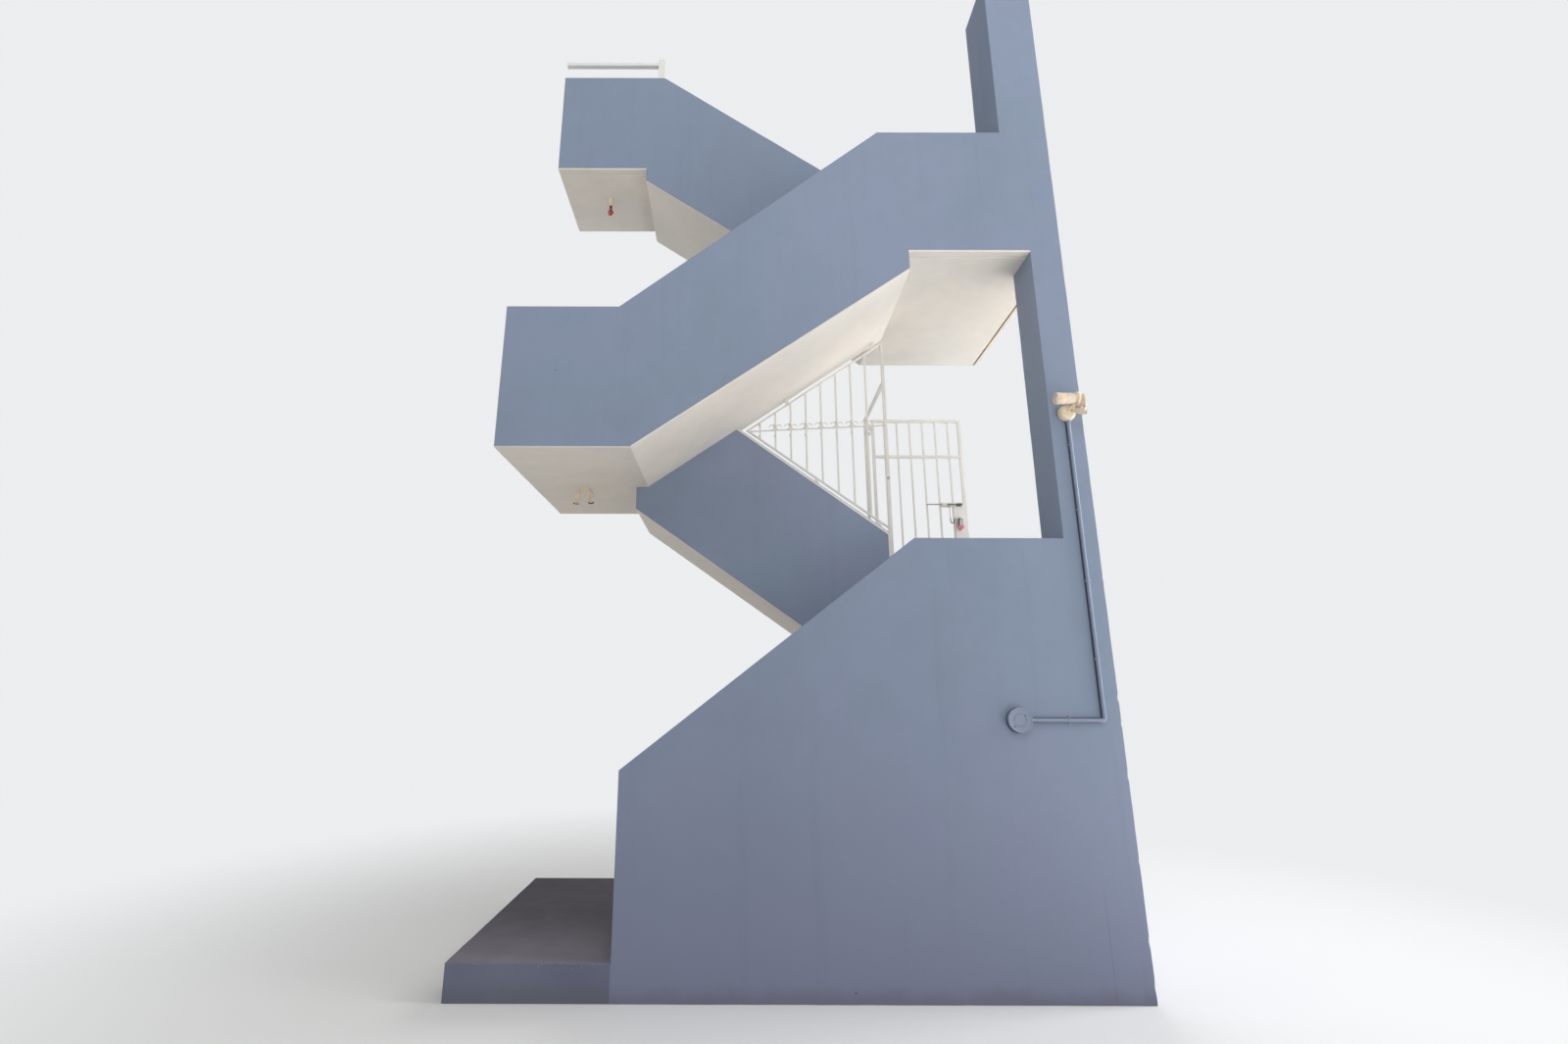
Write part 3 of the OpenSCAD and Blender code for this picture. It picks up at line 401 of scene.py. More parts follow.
def make_stained():
    """White paint in the drip groove, stained ochre and brown by water that hangs there."""
    g = new_material("groove_stain")
    stain = g.noise(3, 6, 0.65, stretch=(6, 2, 6))
    tint = g.mix(g.ramp(stain, 0.3, 0.6), (190, 172, 142), (150, 118, 84))
    tint = g.coats(tint, (g.ramp(g.noise(40, 4), 0.55, 0.75), 1, (104, 82, 62)))
    g.give(Base_Color=tint, Roughness=g.ramp(stain, 0.3, 0.7, 0.6, 0.85))
    g.relief(stain, 0.0008)


def make_screed():
    """Dark trowelled cement screed, dusty, with trowel arcs, a chipped front edge, and painted
    shade towards the porch's back.
    """
    g = new_material("floor_screed")
    coat = g.use("render_coat", Stipple=0.35, Waves=0.8)
    chips = g.use("flecks", Spacing=0.05, Size=0.004, Share=0.45)["Mask"]
    grit = g.use("flecks", Spacing=0.03, Size=0.0016, Share=0.3)["Mask"]
    dust = g.noise(7, 6, 0.65)
    tint = g.mix(coat["Cloud"], (119, 115, 125), (129, 125, 136))
    tint = g.coats(tint, (g.ramp(dust, 0.45, 0.8), 0.22, (138, 133, 143)),
                   (g.ramp(g.noise(2.2), 0.4, 0.7), 0.2, (98, 94, 103)))
    # The porch is dusty in front, and darker towards its back with painted shade, where the stair
    # above shades it
    depth = g.minus(g.axes()[1], FRONT_Y)
    back_shade = g.times(g.ramp(depth, -0.1, 1), g.ramp(g.axes()[2], 0.4, 0.9, 1, 0))
    tint = g.shaded(tint, back_shade, 1, 0.42)
    worn = g.times(chips, g.ramp(depth, 0.004, 0.022, 1, 0))
    tint = g.coats(tint, (worn, 1, (170, 172, 182)), (grit, 0.6, (140, 137, 134)))
    g.give(Base_Color=tint, Roughness=g.ramp(dust, 0.2, 0.8, 0.72, 0.92), Specular_IOR_Level=0.12)
    g.relief(g.minus(coat["Height"], g.times(grit, 0.5)), 0.0011)


def make_terrazzo():
    """Grey terrazzo: stone chips of several sizes in a cement bed, polished and walked dull."""
    g = new_material("tread_stone")
    big = g.cells(95)
    chip = g.ramp(big["Distance"], 0.40, 0.44, 1, 0)
    grit = g.ramp(g.cells(260)["Distance"], 0.36, 0.42, 1, 0)
    tone = g.channels(big["Color"])
    stone = g.mix(tone[0], (96, 92, 88), (206, 201, 192))
    stone = g.mix(g.ramp(tone[1], 0.7, 0.72), stone, (150, 118, 96))
    walk = g.noise(3, 4)
    dirt = g.noise(11, 6, 0.65)
    tint = g.mix(grit, (128, 125, 120), (170, 166, 158))
    tint = g.coats(tint, (chip, 0.9, stone), (g.ramp(walk, 0.4, 0.7), 0.4, (118, 115, 111)),
                   (g.ramp(dirt, 0.55, 0.8), 0.4, (92, 87, 80)))
    g.give(Base_Color=tint, Roughness=g.ramp(walk, 0.3, 0.7, 0.34, 0.6))
    g.relief(g.plus(g.noise(40, 4), g.times(chip, 0.2)), 0.0004)


def make_iron():
    """Brush painted wrought iron: sagging paint, grime, rust that breaks out in small patches."""
    g = new_material("white_iron")
    brush = g.use("brush_marks")["Height"]
    sag = g.noise(60, 2)
    rust = g.use("rust", Share=0.12)
    grime = g.use("grime", Dust_Scale=90, Patch_Scale=7)
    tint = g.coats((230, 227, 221), (grime["Patches"], 0.2, (168, 158, 140)),
                   (rust["Stain"], 0.4, (178, 140, 104)), (rust["Mask"], 1, rust["Colour"]))
    g.give(Base_Color=tint, Roughness=g.ramp(rust["Mask"], 0, 1, 0.42, 0.85),
           Coat_Weight=g.ramp(rust["Mask"], 0, 1, 0.25, 0), Coat_Roughness=0.3)
    g.relief(g.plus(g.times(brush, 0.4), g.plus(g.times(sag, 0.6), rust["Mask"])), 0.0004)


def make_steel(name, share, tone):
    """Zinc plated steel that has gone dull, with brown rust over a share of it."""
    g = new_material(name)
    rust = g.use("rust", Share=share)
    wear = g.noise(24, 4)
    steel = g.mix(wear, toned((112, 108, 104), tone), toned((160, 155, 148), tone))
    g.give(Base_Color=g.mix(rust["Mask"], steel, rust["Colour"]),
           Metallic=g.ramp(rust["Mask"], 0, 1, 0.8, 0),
           Roughness=g.ramp(rust["Mask"], 0, 1, 0.38, 0.86))
    g.relief(g.plus(rust["Mask"], g.times(wear, 0.3)), 0.0005)


def make_enamel(name, colour, roughness, metallic=0):
    """Even enamel with fine orange peel, rubbed patches and a few scratches."""
    g = new_material(name)
    rub = g.noise(60, 5, 0.65)
    scratch = g.noise(1, 2, stretch=(30, 2, 400))
    tint = g.mix(g.ramp(rub, 0.5, 0.8), colour, toned(colour, 1.25, 0.02))
    tint = g.coats(tint, (g.ramp(scratch, 0.68, 0.72), 0.35, (176, 170, 164)))
    g.give(Base_Color=tint, Roughness=g.ramp(rub, 0.3, 0.8, roughness, roughness + 0.2),
           Metallic=metallic, Coat_Weight=0.4, Coat_Roughness=0.15)
    g.relief(g.noise(700, 2), 0.0001)


def make_lamp_plastic():
    """Cream housings, yellowed and dusty, with darker patches of grime."""
    g = new_material("lamp_cream")
    age = g.noise(14, 5, 0.6)
    grime = g.use("grime", Dust_Scale=120, Patch_Scale=34)
    tint = g.mix(g.ramp(age, 0.3, 0.7), (230, 210, 180), (243, 229, 206))
    tint = g.coats(tint, (grime["Dust"], 0.22, (170, 150, 122)),
                   (grime["Patches"], 0.35, (168, 140, 106)))
    g.give(Base_Color=tint, Roughness=g.ramp(age, 0.2, 0.8, 0.34, 0.52))
    g.relief(grime["Dust"], 0.0001)


def make_glass(name, colour, dusty, roughness):
    """Coated lamp glass with dust on it."""
    g = new_material(name)
    dust = g.use("grime", Dust_Scale=90, Patch_Scale=30)["Dust"]
    g.give(Base_Color=g.mix(dust, colour, dusty), Coat_Weight=0.8, Coat_Roughness=0.06,
           Roughness=g.ramp(dust, 0, 1, roughness, roughness + 0.22))
    g.relief(g.noise(45), 0.0001)


def make_painted_plastic():
    """Plastic conduit painted over by brush in the colour of the wall."""
    g = new_material("conduit_paint")
    brush = g.use("brush_marks")["Height"]
    cloud = g.noise(5, 4)
    thin = g.noise(46, 5, 0.7)
    tint = g.mix(cloud, (128, 139, 161), (144, 155, 176))
    tint = g.coats(tint, (g.ramp(thin, 0.62, 0.75), 0.35, (168, 172, 180)))
    g.give(Base_Color=tint, Roughness=g.ramp(cloud, 0.3, 0.7, 0.42, 0.6))
    g.relief(brush, 0.0004)


make_blue_paint()
make_porch_paint()
make_paint("white_soffit", (239, 231, 220), (235, 230, 222), stipple=0.18)
# A dark paint that is painted shadow, laid on the wall round the conduit and the box
make_paint("painted_shadow", (74, 79, 96), (84, 88, 102), stipple=0.1)
make_screed()
make_concrete()
make_stained()
make_terrazzo()
make_iron()
make_steel("bare_steel", 0.36, 1)
make_steel("dark_steel", 0.22, 0.45)
make_steel("worn_steel", 0.26, 1.5)
make_steel("bright_steel", 0.14, 1.45)
make_enamel("lock_paint", (222, 122, 146), 0.35)
make_enamel("black_steel", (30, 29, 30), 0.4, 0.3)
make_lamp_plastic()
make_glass("red_glass", (176, 14, 26), (196, 60, 62), 0.08)
make_glass("bulb_neck", (92, 12, 20), (120, 34, 38), 0.2)
make_glass("lamp_lens", (232, 228, 216), (214, 206, 188), 0.12)
make_glass("dark_lens", (58, 50, 48), (96, 88, 80), 0.1)
make_painted_plastic()

SLOT_OF = {part["node"]: part["material_slot"] for part in frame["record"]["subparts"]}

# Each CAD node takes the finish that the record names for it
for name, slot in SLOT_OF.items():
    nodes[name].data.materials.clear()
    nodes[name].data.materials.append(FINISHES[slot])


def new_piece(name, mesh, finishes, stands_for, body):
    """A mesh as a piece of the stair, with its finishes, on the body that carries it."""
    data = bpy.data.meshes.new(name)
    mesh.to_mesh(data)
    mesh.free()
    for finish in finishes:
        data.materials.append(FINISHES[finish])
    piece = bpy.data.objects.new(name, data)
    bpy.context.scene.collection.objects.link(piece)
    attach(piece, body)
    if stands_for:
        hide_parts(stands_for)


# The masonry: each solid again, with its paint laid out and its free arrises worn round

# The finish of the sides, the underside and the top of a solid, by its slot
PAINTS = {
    "blue_paint": ("blue_paint", "white_soffit", "blue_paint"),
    "white_soffit": ("white_soffit", "white_soffit", "floor_screed"),
    "floor_screed": ("porch_paint", "porch_paint", "floor_screed"),
    "tread_stone": ("tread_stone", "tread_stone", "tread_stone"),
}
SIDE, UNDER, TOP, JOINT, STAIN = range(5)
MASONRY = [name for name, slot in SLOT_OF.items() if slot in PAINTS]
GROOVED = ("upper_landing_parapet", "upper_side_parapet", "second_landing_parapet")
ARRIS = 0.005
CUT_STEP = 0.09
# No cut comes nearer than this to another cut or to an end
CUT_ROOM = 0.012
# How near another solid counts as lying against a place, and how far in from an arris it is asked
TOUCH = 0.0008
PROBE = 0.006


def skin_of(name):
    """The node's solid as a clean mesh, with whole faces."""
    mesh = bmesh.new()
    mesh.from_mesh(nodes[name].data)
    bmesh.ops.remove_doubles(mesh, verts=mesh.verts, dist=mm(0.02))
    bmesh.ops.dissolve_limit(mesh, angle_limit=math.radians(0.6), verts=mesh.verts,
                             edges=mesh.edges)
    return mesh


SKINS = {name: skin_of(name) for name in MASONRY}
TREES = {name: BVHTree.FromBMesh(mesh) for name, mesh in SKINS.items()}


def covered(place, name):
    """Whether another solid lies against this one at a place."""
    return any(tree.find_nearest(place, TOUCH)[0] is not None
               for other, tree in TREES.items() if other != name)


def is_free(edge, name):
    """Whether an edge is an outer arris that nothing lies against, on either of its faces."""
    if len(edge.link_faces) != 2 or not edge.is_convex:
        return False
    if edge.calc_face_angle(0.0) < math.radians(20):
        return False
    middle = (edge.verts[0].co + edge.verts[1].co) / 2
    for loop in edge.link_loops:
        along = (loop.link_loop_next.vert.co - loop.vert.co).normalized()
        if covered(middle + loop.face.normal.cross(along) * PROBE, name):
            return False
    return True


def cut(mesh, place, normal, only=None):
    """Cuts the faces of a mesh, or only some of them, along a plane."""
    faces = [face for face in mesh.faces if only is None or only(face)]
    edges = dict.fromkeys(edge for face in faces for edge in face.edges)
    points = dict.fromkeys(point for face in faces for point in face.verts)
    bmesh.ops.bisect_plane(mesh, geom=[*points, *edges, *faces], dist=mm(0.01), plane_co=place,
                           plane_no=normal)


# Knocks on the outer arris of the post: height, half length and how deep they go
KNOCKS = [(1.62, 0.03, 2.2), (1.47, 0.018, 1.4), (1.18, 0.035, 2.0), (0.72, 0.02, 1.2),
          (0.31, 0.03, 1.6), (2.35, 0.016, 1.1), (0.09, 0.04, 1.8)]


def cut_across(mesh, name):
    """Cuts a skin across, where a neighbour's box ends and at even steps along its length."""
    low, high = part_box(name)
    long_axis = max(range(3), key=lambda axis: high[axis] - low[axis])
    boxes = [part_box(other) for other in MASONRY if other != name]
    boxes = [box for box in boxes
             if all(box[0][i] < high[i] + 0.001 and box[1][i] > low[i] - 0.001 for i in range(3))]
    for axis in range(3):
        places = {round(corner[axis], 5) for box in boxes for corner in box}
        if axis == long_axis:
            count = max(1, round((high[axis] - low[axis]) / CUT_STEP))
            places |= {low[axis] + (high[axis] - low[axis]) * i / count for i in range(count)}
            if name == "corner_post":
                places |= {height + half * side for height, half, depth in KNOCKS
                           for side in (-1, 0, 1)}
        normal = Vector([float(i == axis) for i in range(3)])
        last = low[axis]
        for place in sorted(places):
            if place - last > CUT_ROOM and high[axis] - place > CUT_ROOM:
                cut(mesh, normal * place, normal)
                last = place


def wear(place, name):
    """How far an arris has worn back at a place, as a multiple of its even width."""
    worn = 1.0 + 0.55 * noise.noise(place * 9.0) + 0.3 * noise.noise(place * 31.0)
    if name == "corner_post" and place.x > at(3800, 0, 0).x and place.y < at(0, 60, 0).y:
        for height, half, depth in KNOCKS:
            worn += depth * max(0.0, 1.0 - abs(place.z - height) / half)
    return worn


def round_arrises(mesh, name):
    """Bevels the free arrises, and lets the width of the bevel wander."""
    arrises = [edge for edge in mesh.edges if is_free(edge, name)]
    lines = [(edge.verts[0].co.copy(), edge.verts[1].co.copy()) for edge in arrises]
    if not arrises:
        return
    made = bmesh.ops.bevel(mesh, geom=arrises, offset=ARRIS, segments=3, profile=0.5,
                           affect="EDGES", clamp_overlap=True, material=-1)
    for point in made["verts"]:
        best, near = None, 1.0
        for start, end in lines:
            way = end - start
            share = (point.co - start).dot(way) / way.length_squared
            foot = start + way * min(1.0, max(0.0, share))
            if (point.co - foot).length < near:
                best, near = foot, (point.co - foot).length
        if near < 2 * ARRIS:
            point.co = best + (point.co - best) * wear(best, name)


# White paint that runs a little over onto the blue front: node, line in x and z, width and side
STRIPS = [
    ("flight_2_parapet", ((866, 4247), (2792, 2838)), 14, -1),
    ("flight_2_parapet", ((2792, 1640), (2792, 2838)), 15, 1),
    ("flight_3_parapet", ((905, SLAB_UNDER), (2825, 4544)), 11, 1),
    ("first_landing_parapet", ((0, SLAB_UNDER), (905, SLAB_UNDER)), 7, 1),
    ("upper_landing_parapet", ((2825, 4688), (POST_LEFT, 4688)), 13, 1),
    ("second_landing_parapet", ((0, 6161), (789, 6161)), 12, 1),
]


def strip_test(line, width, side):
    """A strip's outer line and way out, and a test for the faces of the front that lie in it."""
    start, end = (at(x, 0, z) for x, z in line)
    way = (end - start).normalized()
    out = Vector((-way.z, 0.0, way.x)) * side

    def inside(face):
        reach = face.calc_center_median() - start
        return (face.normal.y < -0.9 and 0 < reach.dot(way) < (end - start).length
                and 0 < reach.dot(out) < mm(width))
    return start + out * mm(width), out, inside


def in_groove(face, name):
    """Whether a face is a wall or the roof of a drip groove."""
    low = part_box(name)[0].z
    middle = face.calc_center_median().z
    roof = face.normal.z < -0.5 and middle > low + 0.002
    wall = abs(face.normal.z) < 0.3 and max(point.co.z for point in face.verts) < low + 0.05
    return name in GROOVED and middle < low + 0.03 and (roof or wall)


def is_bare(face, name):
    """Whether a face is where the stair was cut off, or a deep knock in the post."""
    middle = face.calc_center_median()
    slanted = min(abs(face.normal.x), abs(face.normal.y)) > 0.2
    return (face.normal.y > 0.9 and middle.y > BACK_Y - 0.0005
            or face.normal.x < -0.9 and middle.x < LEFT_X + 0.0005
            or name == "corner_post" and slanted and wear(middle, name) > 1.9)


def paint_faces(mesh, name, tests):
    """Gives each face of a skin its paint, by the way it faces and by the strips it lies in."""
    for face in mesh.faces:
        if is_bare(face, name):
            face.material_index = JOINT
        elif in_groove(face, name):
            face.material_index = STAIN if name == "upper_side_parapet" else UNDER
        elif face.normal.z < -0.35 or any(test(face) for test in tests):
            face.material_index = UNDER
        else:
            face.material_index = TOP if face.normal.z > 0.5 else SIDE


def dress_masonry(name):
    """The painted and worn piece that stands for one solid of the masonry."""
    mesh = SKINS[name].copy()
    tests = []
    for node, line, width, side in STRIPS:
        if node == name:
            place, out, inside = strip_test(line, width, side)
            cut(mesh, place, out, only=lambda face: face.normal.y < -0.9)
            tests.append(inside)
    cut_across(mesh, name)
    mesh.normal_update()
    round_arrises(mesh, name)
    mesh.normal_update()
    paint_faces(mesh, name, tests)
    side, under, top = PAINTS[SLOT_OF[name]]
    if name == "porch":
        side = "porch_paint"
    new_piece(name + "_skin", mesh, (side, under, top, "bare_joint", "groove_stain"),
              name, "stair")


for name in MASONRY:
    dress_masonry(name)


# The fittings: turned, swept and cut pieces that stand for the plain solids

class Work:
    """A mesh that is put together from turned, swept and cut parts; sizes are in millimetres."""

    def __init__(self):
        self.mesh = bmesh.new()

    def skin(self, rings, finish=0):
        """Joins rings of points, one after the other, with faces; a single point closes an end."""
        for first, second in zip(rings, rings[1:]):
            count = max(len(first), len(second))
            for i in range(count):
                j = (i + 1) % count
                if len(first) == 1:
                    corners = (first[0], second[i], second[j])
                elif len(second) == 1:
                    corners = (first[i], second[0], first[j])
                else:
                    corners = (first[i], second[i], second[j], first[j])
                face = self.mesh.faces.new(corners)
                face.material_index = finish
                face.smooth = True

    def turned(self, profile, foot, way, count=40, finish=0):
        """Turns a profile of (radius, height) round an axis that starts at a foot."""
        way = Vector(way).normalized()
        side = way.orthogonal().normalized()
        other = way.cross(side)
        rings = []
        for radius, height in profile:
            centre = foot + way * mm(height)
            if radius == 0:
                rings.append([self.mesh.verts.new(centre)])
                continue
            rings.append([self.mesh.verts.new(
                centre + (side * math.cos(turn) + other * math.sin(turn)) * mm(radius))
                for turn in (2 * math.pi * i / count for i in range(count))])
        self.skin(rings, finish)

    def swept(self, points, radius, count=14, flat=1.0, up=None, finish=0):
        """Sweeps a round or flattened section along a line of points, with domed ends."""
        last = len(points) - 1
        rings = []
        side = None
        for i, point in enumerate(points):
            way = (points[min(i + 1, last)] - points[max(i - 1, 0)]).normalized()
            if side is None:
                side = up or way.orthogonal()
            side = (side - way * side.dot(way)).normalized()
            other = way.cross(side)
            rings.append([self.mesh.verts.new(
                point + side * math.cos(turn) * mm(radius)
                + other * math.sin(turn) * mm(radius) * flat)
                for turn in (2 * math.pi * k / count for k in range(count))])
        start = (points[0] - points[1]).normalized() * mm(radius) * 0.3
        end = (points[-1] - points[-2]).normalized() * mm(radius) * 0.3
        self.skin([[self.mesh.verts.new(points[0] + start)], *rings,
                   [self.mesh.verts.new(points[-1] + end)]], finish)

    def block(self, low, high, rounding, segments=2, finish=0):
        """A block between two corners, its edges rounded."""
        made = bmesh.ops.create_cube(self.mesh, size=1.0)["verts"]
        size = high - low
        for point in made:
            point.co = low + Vector([(point.co[i] + 0.5) * size[i] for i in range(3)])
            for face in point.link_faces:
                face.material_index = finish
        edges = dict.fromkeys(edge for point in made for edge in point.link_edges)
        bmesh.ops.bevel(self.mesh, geom=list(edges), offset=mm(rounding), segments=segments,
                        profile=0.5, affect="EDGES", material=-1)

    def screw(self, foot, way, radius, finish=0):
        """A pan head screw."""
        self.turned([(radius * 1.02, 0.0), (radius, 1.0), (radius * 0.82, 1.9),
                     (radius * 0.4, 2.5), (0, 2.6)], foot, way, 20, finish)

    def bead(self, place, along, length, size, rand, finish=0):
        """A short weld bead of overlapping uneven drops."""
        count = max(2, round(length / (size * 0.7)))
        for i in range(count):
            centre = place + along.normalized() * mm(length * ((i + 0.5) / count - 0.5))
            drop = bmesh.ops.create_icosphere(self.mesh, subdivisions=1, radius=mm(size))["verts"]
            stretch = [rand.uniform(0.75, 1.15) for axis in range(3)]
            for point in drop:
                point.co = centre + Vector([point.co[k] * stretch[k] for k in range(3)])
                for face in point.link_faces:
                    face.material_index = finish
                    face.smooth = True

    def done(self, name, finishes, stands_for=None, body="stair"):
        """Ends the piece: closed rims, sharp edges where it turns hard, finishes, and its body."""
        bmesh.ops.remove_doubles(self.mesh, verts=self.mesh.verts, dist=mm(0.01))
        rims = [edge for edge in self.mesh.edges if edge.is_boundary]
        bmesh.ops.holes_fill(self.mesh, edges=rims, sides=0)
        bmesh.ops.recalc_face_normals(self.mesh, faces=self.mesh.faces)
        for edge in self.mesh.edges:
            edge.smooth = edge.calc_face_angle(0.0) < math.radians(38)
        new_piece(name, self.mesh, finishes, stands_for, body)


def arc(centre, first, second, radius, start, end, count):
    """Points on an arc between two angles, in the plane of two unit ways."""
    turns = [math.radians(start + (end - start) * i / (count - 1)) for i in range(count)]
    return [centre + (first * math.cos(turn) + second * math.sin(turn)) * mm(radius)
            for turn in turns]


def make_floodlight():
    """Two old lamp heads on knuckles over a stepped round base."""
    work = Work()
    base = at(3797, 0, 3453)
    work.turned([(54.5, 0), (56, 3), (56, 17), (54, 20), (51.5, 20.5), (51.5, 33), (48, 37.5),
                 (40, 39.6), (22, 40), (0, 40)], base, FRONT, 64)
    joint = base + step(43, -85, 74)
    # The left head, along the wall: a knuckle disc, a ribbed shell, a rim and a sunk lens
    work.turned([(0, -10), (38, -10), (43.5, -8), (45, -4), (45, 4), (43.5, 8), (40, 10),
                 (36, 11), (33, 17), (34, 24), (36.5, 30), (37, 42), (35.8, 44), (37, 46),
                 (37.2, 58), (36, 60), (37.2, 62), (37.4, 76), (36.2, 78), (37.4, 80),
                 (37.6, 112), (39, 116), (39, 137), (37.5, 140.5), (35.5, 141), (34, 139),
                 (33.6, 128)], joint, LEFT, 56)
    work.turned([(33.7, 129), (24, 132), (12, 133.6), (0, 134)], joint, LEFT, 56, finish=1)
    # The right head, turned out: a bell with a rim
    turn = math.radians(22)
    out = Vector((math.cos(turn), -math.sin(turn), 0.08)).normalized()
    mouth = base + step(95, -87, 59)
    work.turned([(0, -66), (14, -65.5), (22, -62), (26, -55), (27.5, -46), (30, -44), (30, -40),
                 (29.5, -38), (36, -26), (42, -14), (47, -10), (49.5, -7), (49.5, -2), (48.5, 0),
                 (46, 0), (45, -2), (44.5, -7)], mouth, out, 56)
    work.turned([(44.6, -6.5), (30, -3.6), (14, -2), (0, -1.6)], mouth, out, 56, finish=1)
    # Arms, a lock ring, the knuckle's screw and the screws of the base
    work.swept([base + step(0, -20, 0), base + step(14, -44, 26), joint + step(0, 6, -24)], 10)
    work.swept([base + step(28, -20, 0), base + step(36, -34, 30), mouth - out * mm(60)], 10)
    work.turned([(12.5, 0), (13.5, 2), (13.5, 7), (12.5, 9)], base + step(2, -38, 4),
                (0.3, -0.6, 0.6), 24)
    work.turned([(7, 0), (7, 4), (5, 6), (0, 6.4)], joint + RIGHT * mm(9.6), RIGHT, 16)
    work.screw(base + step(-30, -39, -14), FRONT, 4.5)
    work.screw(base + step(12, -39.6, -32), FRONT, 4.5)
    work.done("floodlight_heads", ("lamp_cream", "lamp_lens"), "floodlight")


def make_sensor():
    """The motion sensor: a ball joint, a ribbed shell and a dull domed lens."""
    work = Work()
    foot = at(3826, -40.6, 3453)
    ball = foot + FRONT * mm(12)
    work.turned([(10.5, -0.3), (10.5, 2), (9, 4), (7, 6), (7, 9)], foot, FRONT, 28)
    work.turned([(0, -12), (6, -10.4), (10.4, -6), (12, 0), (10.4, 6), (8, 9)], ball, FRONT, 28)
    way = (0.75, -0.6, -0.25)
    work.turned([(0, 4), (9, 4.5), (13, 7), (14.5, 12), (15.5, 16), (15.2, 18), (17, 20),
                 (20.5, 42), (23.4, 58), (25.6, 66), (27.2, 69), (27.2, 74), (26, 76), (24.4, 76.5),
                 (23.8, 73)], ball, way, 44)
    work.turned([(23.9, 73.5), (20, 77), (12, 79), (0, 79.8)], ball, way, 44, finish=1)
    work.turned([(15.8, 18.5), (17.4, 19.5), (17.6, 22), (16.5, 23)], ball, way, 44)
    work.done("sensor_head", ("lamp_cream", "dark_lens"), "motion_sensor")


def make_spotlight():
    """The twin spotlight: a round plate, two bent arms, flared heads with dark mouths."""
    work = Work()
    plate = at(394, 975, SLAB_UNDER)
    work.turned([(42, 0), (43, 2), (43, 13), (41, 17), (36, 19.6), (14, 20), (0, 20)],
                plate, DOWN, 56)
    for side in (-1, 1):
        work.swept([plate + step(x * side, 0, z) for x, z in
                    ((18, -12), (32, -21), (45, -31), (52, -42))], 9.6, 18)
        tilt = (0.10 * side, -0.04 if side < 0 else -0.24, -1.0)
        crown = plate + RIGHT * mm(52 * side) + UP * mm(-28)
        shell = [(0, -0.5), (9, 0), (14, 3), (16.5, 8), (17, 16), (18.2, 18), (18.2, 21),
                 (17.2, 23), (17.6, 52), (20, 68), (22.6, 76), (23.2, 80)]
        rim = [(23.2, 79.6), (24, 81), (24.2, 92), (23.6, 94.2)]
        mouth = [(23.6, 94.2), (22.4, 95.2), (20.6, 94.6), (19.8, 92), (19.2, 84)]
        lens = [(19.4, 85), (15, 89.5), (8, 92.4), (0, 93)]
        for profile, finish in ((shell, 0), (rim, 0), (mouth, 1), (lens, 2)):
            work.turned(profile, crown, tilt, 44, finish)
    for turn in (0.7, 3.6):
        spot = plate + Vector((math.cos(turn), math.sin(turn), 0)) * mm(26) + DOWN * mm(19.8)
        work.screw(spot, DOWN, 3.6)
    work.done("spotlight_twin", ("lamp_cream", "dark_steel", "lamp_lens"),
              "spotlight")


def make_bulb():
    """A pear bulb with a seam above its neck, in a ribbed porcelain holder."""
    work = Work()
    low = at(BULB_X, BULB_Y, 5984.7)
    radius = 28
    turns = [math.radians(7.5 * i) for i in range(1, 18)]
    globe = [(radius * math.sin(turn), radius - radius * math.cos(turn)) for turn in turns]
    work.turned([(0, 0), *globe, (17.6, 56.5), (14.6, 64)], low, UP, 56)
    work.turned([(14.6, 64), (13.1, 71), (12.8, 79), (13, 84), (13, 98), (0, 98)], low, UP, 56,
                finish=1)
    work.done("bulb_glass", ("red_glass", "bulb_neck"), "bulb")
    work = Work()
    work.turned([(13.2, 1), (13.4, 0), (17.4, 0), (18.2, 2), (18.4, 10), (19.6, 12), (19.2, 14),
                 (19.8, 30), (20.6, 32), (20.4, 34), (21.4, 50), (22.4, 52), (24.6, 58),
                 (27.4, 62), (28, 66), (28, 78), (0, 78)], at(BULB_X, BULB_Y, 6083), UP, 48)
    work.done("lamp_holder", ("lamp_cream",), "bulb_holder")


def make_box():
    """The junction box with its rimmed cover and two screws, over a dark ring of painted shadow on
    the wall.
    """
    work = Work()
    box = at(BOX_X, 0, BOX_Z)
    work.turned([(70, 0), (70, 25.2), (68.5, 26), (68.5, 26.8), (72.2, 27), (73, 28.2), (73, 32),
                 (71.6, 33.7), (69.4, 34), (67.4, 33.6), (66.4, 32.4), (65, 32), (30, 32.3),
                 (0, 32.4)], box, FRONT, 72)
    work.turned([(14.5, -74), (16, -73), (16, -64), (14, -60)], box + FRONT * mm(CONDUIT_OUT),
                LEFT, 28)
    # A moulded ring on the cover, in two lengths
    for start, end, count in ((-150, 40, 30), (70, 190, 20)):
        work.swept(arc(box + FRONT * mm(32.4), RIGHT, UP, 36, start, end, count), 2.0, 8, flat=0.5,
                   up=FRONT)
    # A dark ring behind the box, wider at the lower left: the box's shadow on the wall, painted
    work.turned([(0, 0.1), (72, 0.1), (74, 0.6), (72, 1.2), (0, 1.4)], box + step(-3.6, 0, -2.4),
                FRONT, 64, finish=2)
    for x, z in ((30, 28), (-38, -36)):
        work.turned([(0, 0), (4.6, 0), (4.6, 1.0), (3.6, 1.5), (0, 1.5)],
                    box + step(x, -32.2, z), FRONT, 18, finish=1)
    work.done("box_cover", ("conduit_paint", "dark_steel", "painted_shadow"),
              "junction_box")


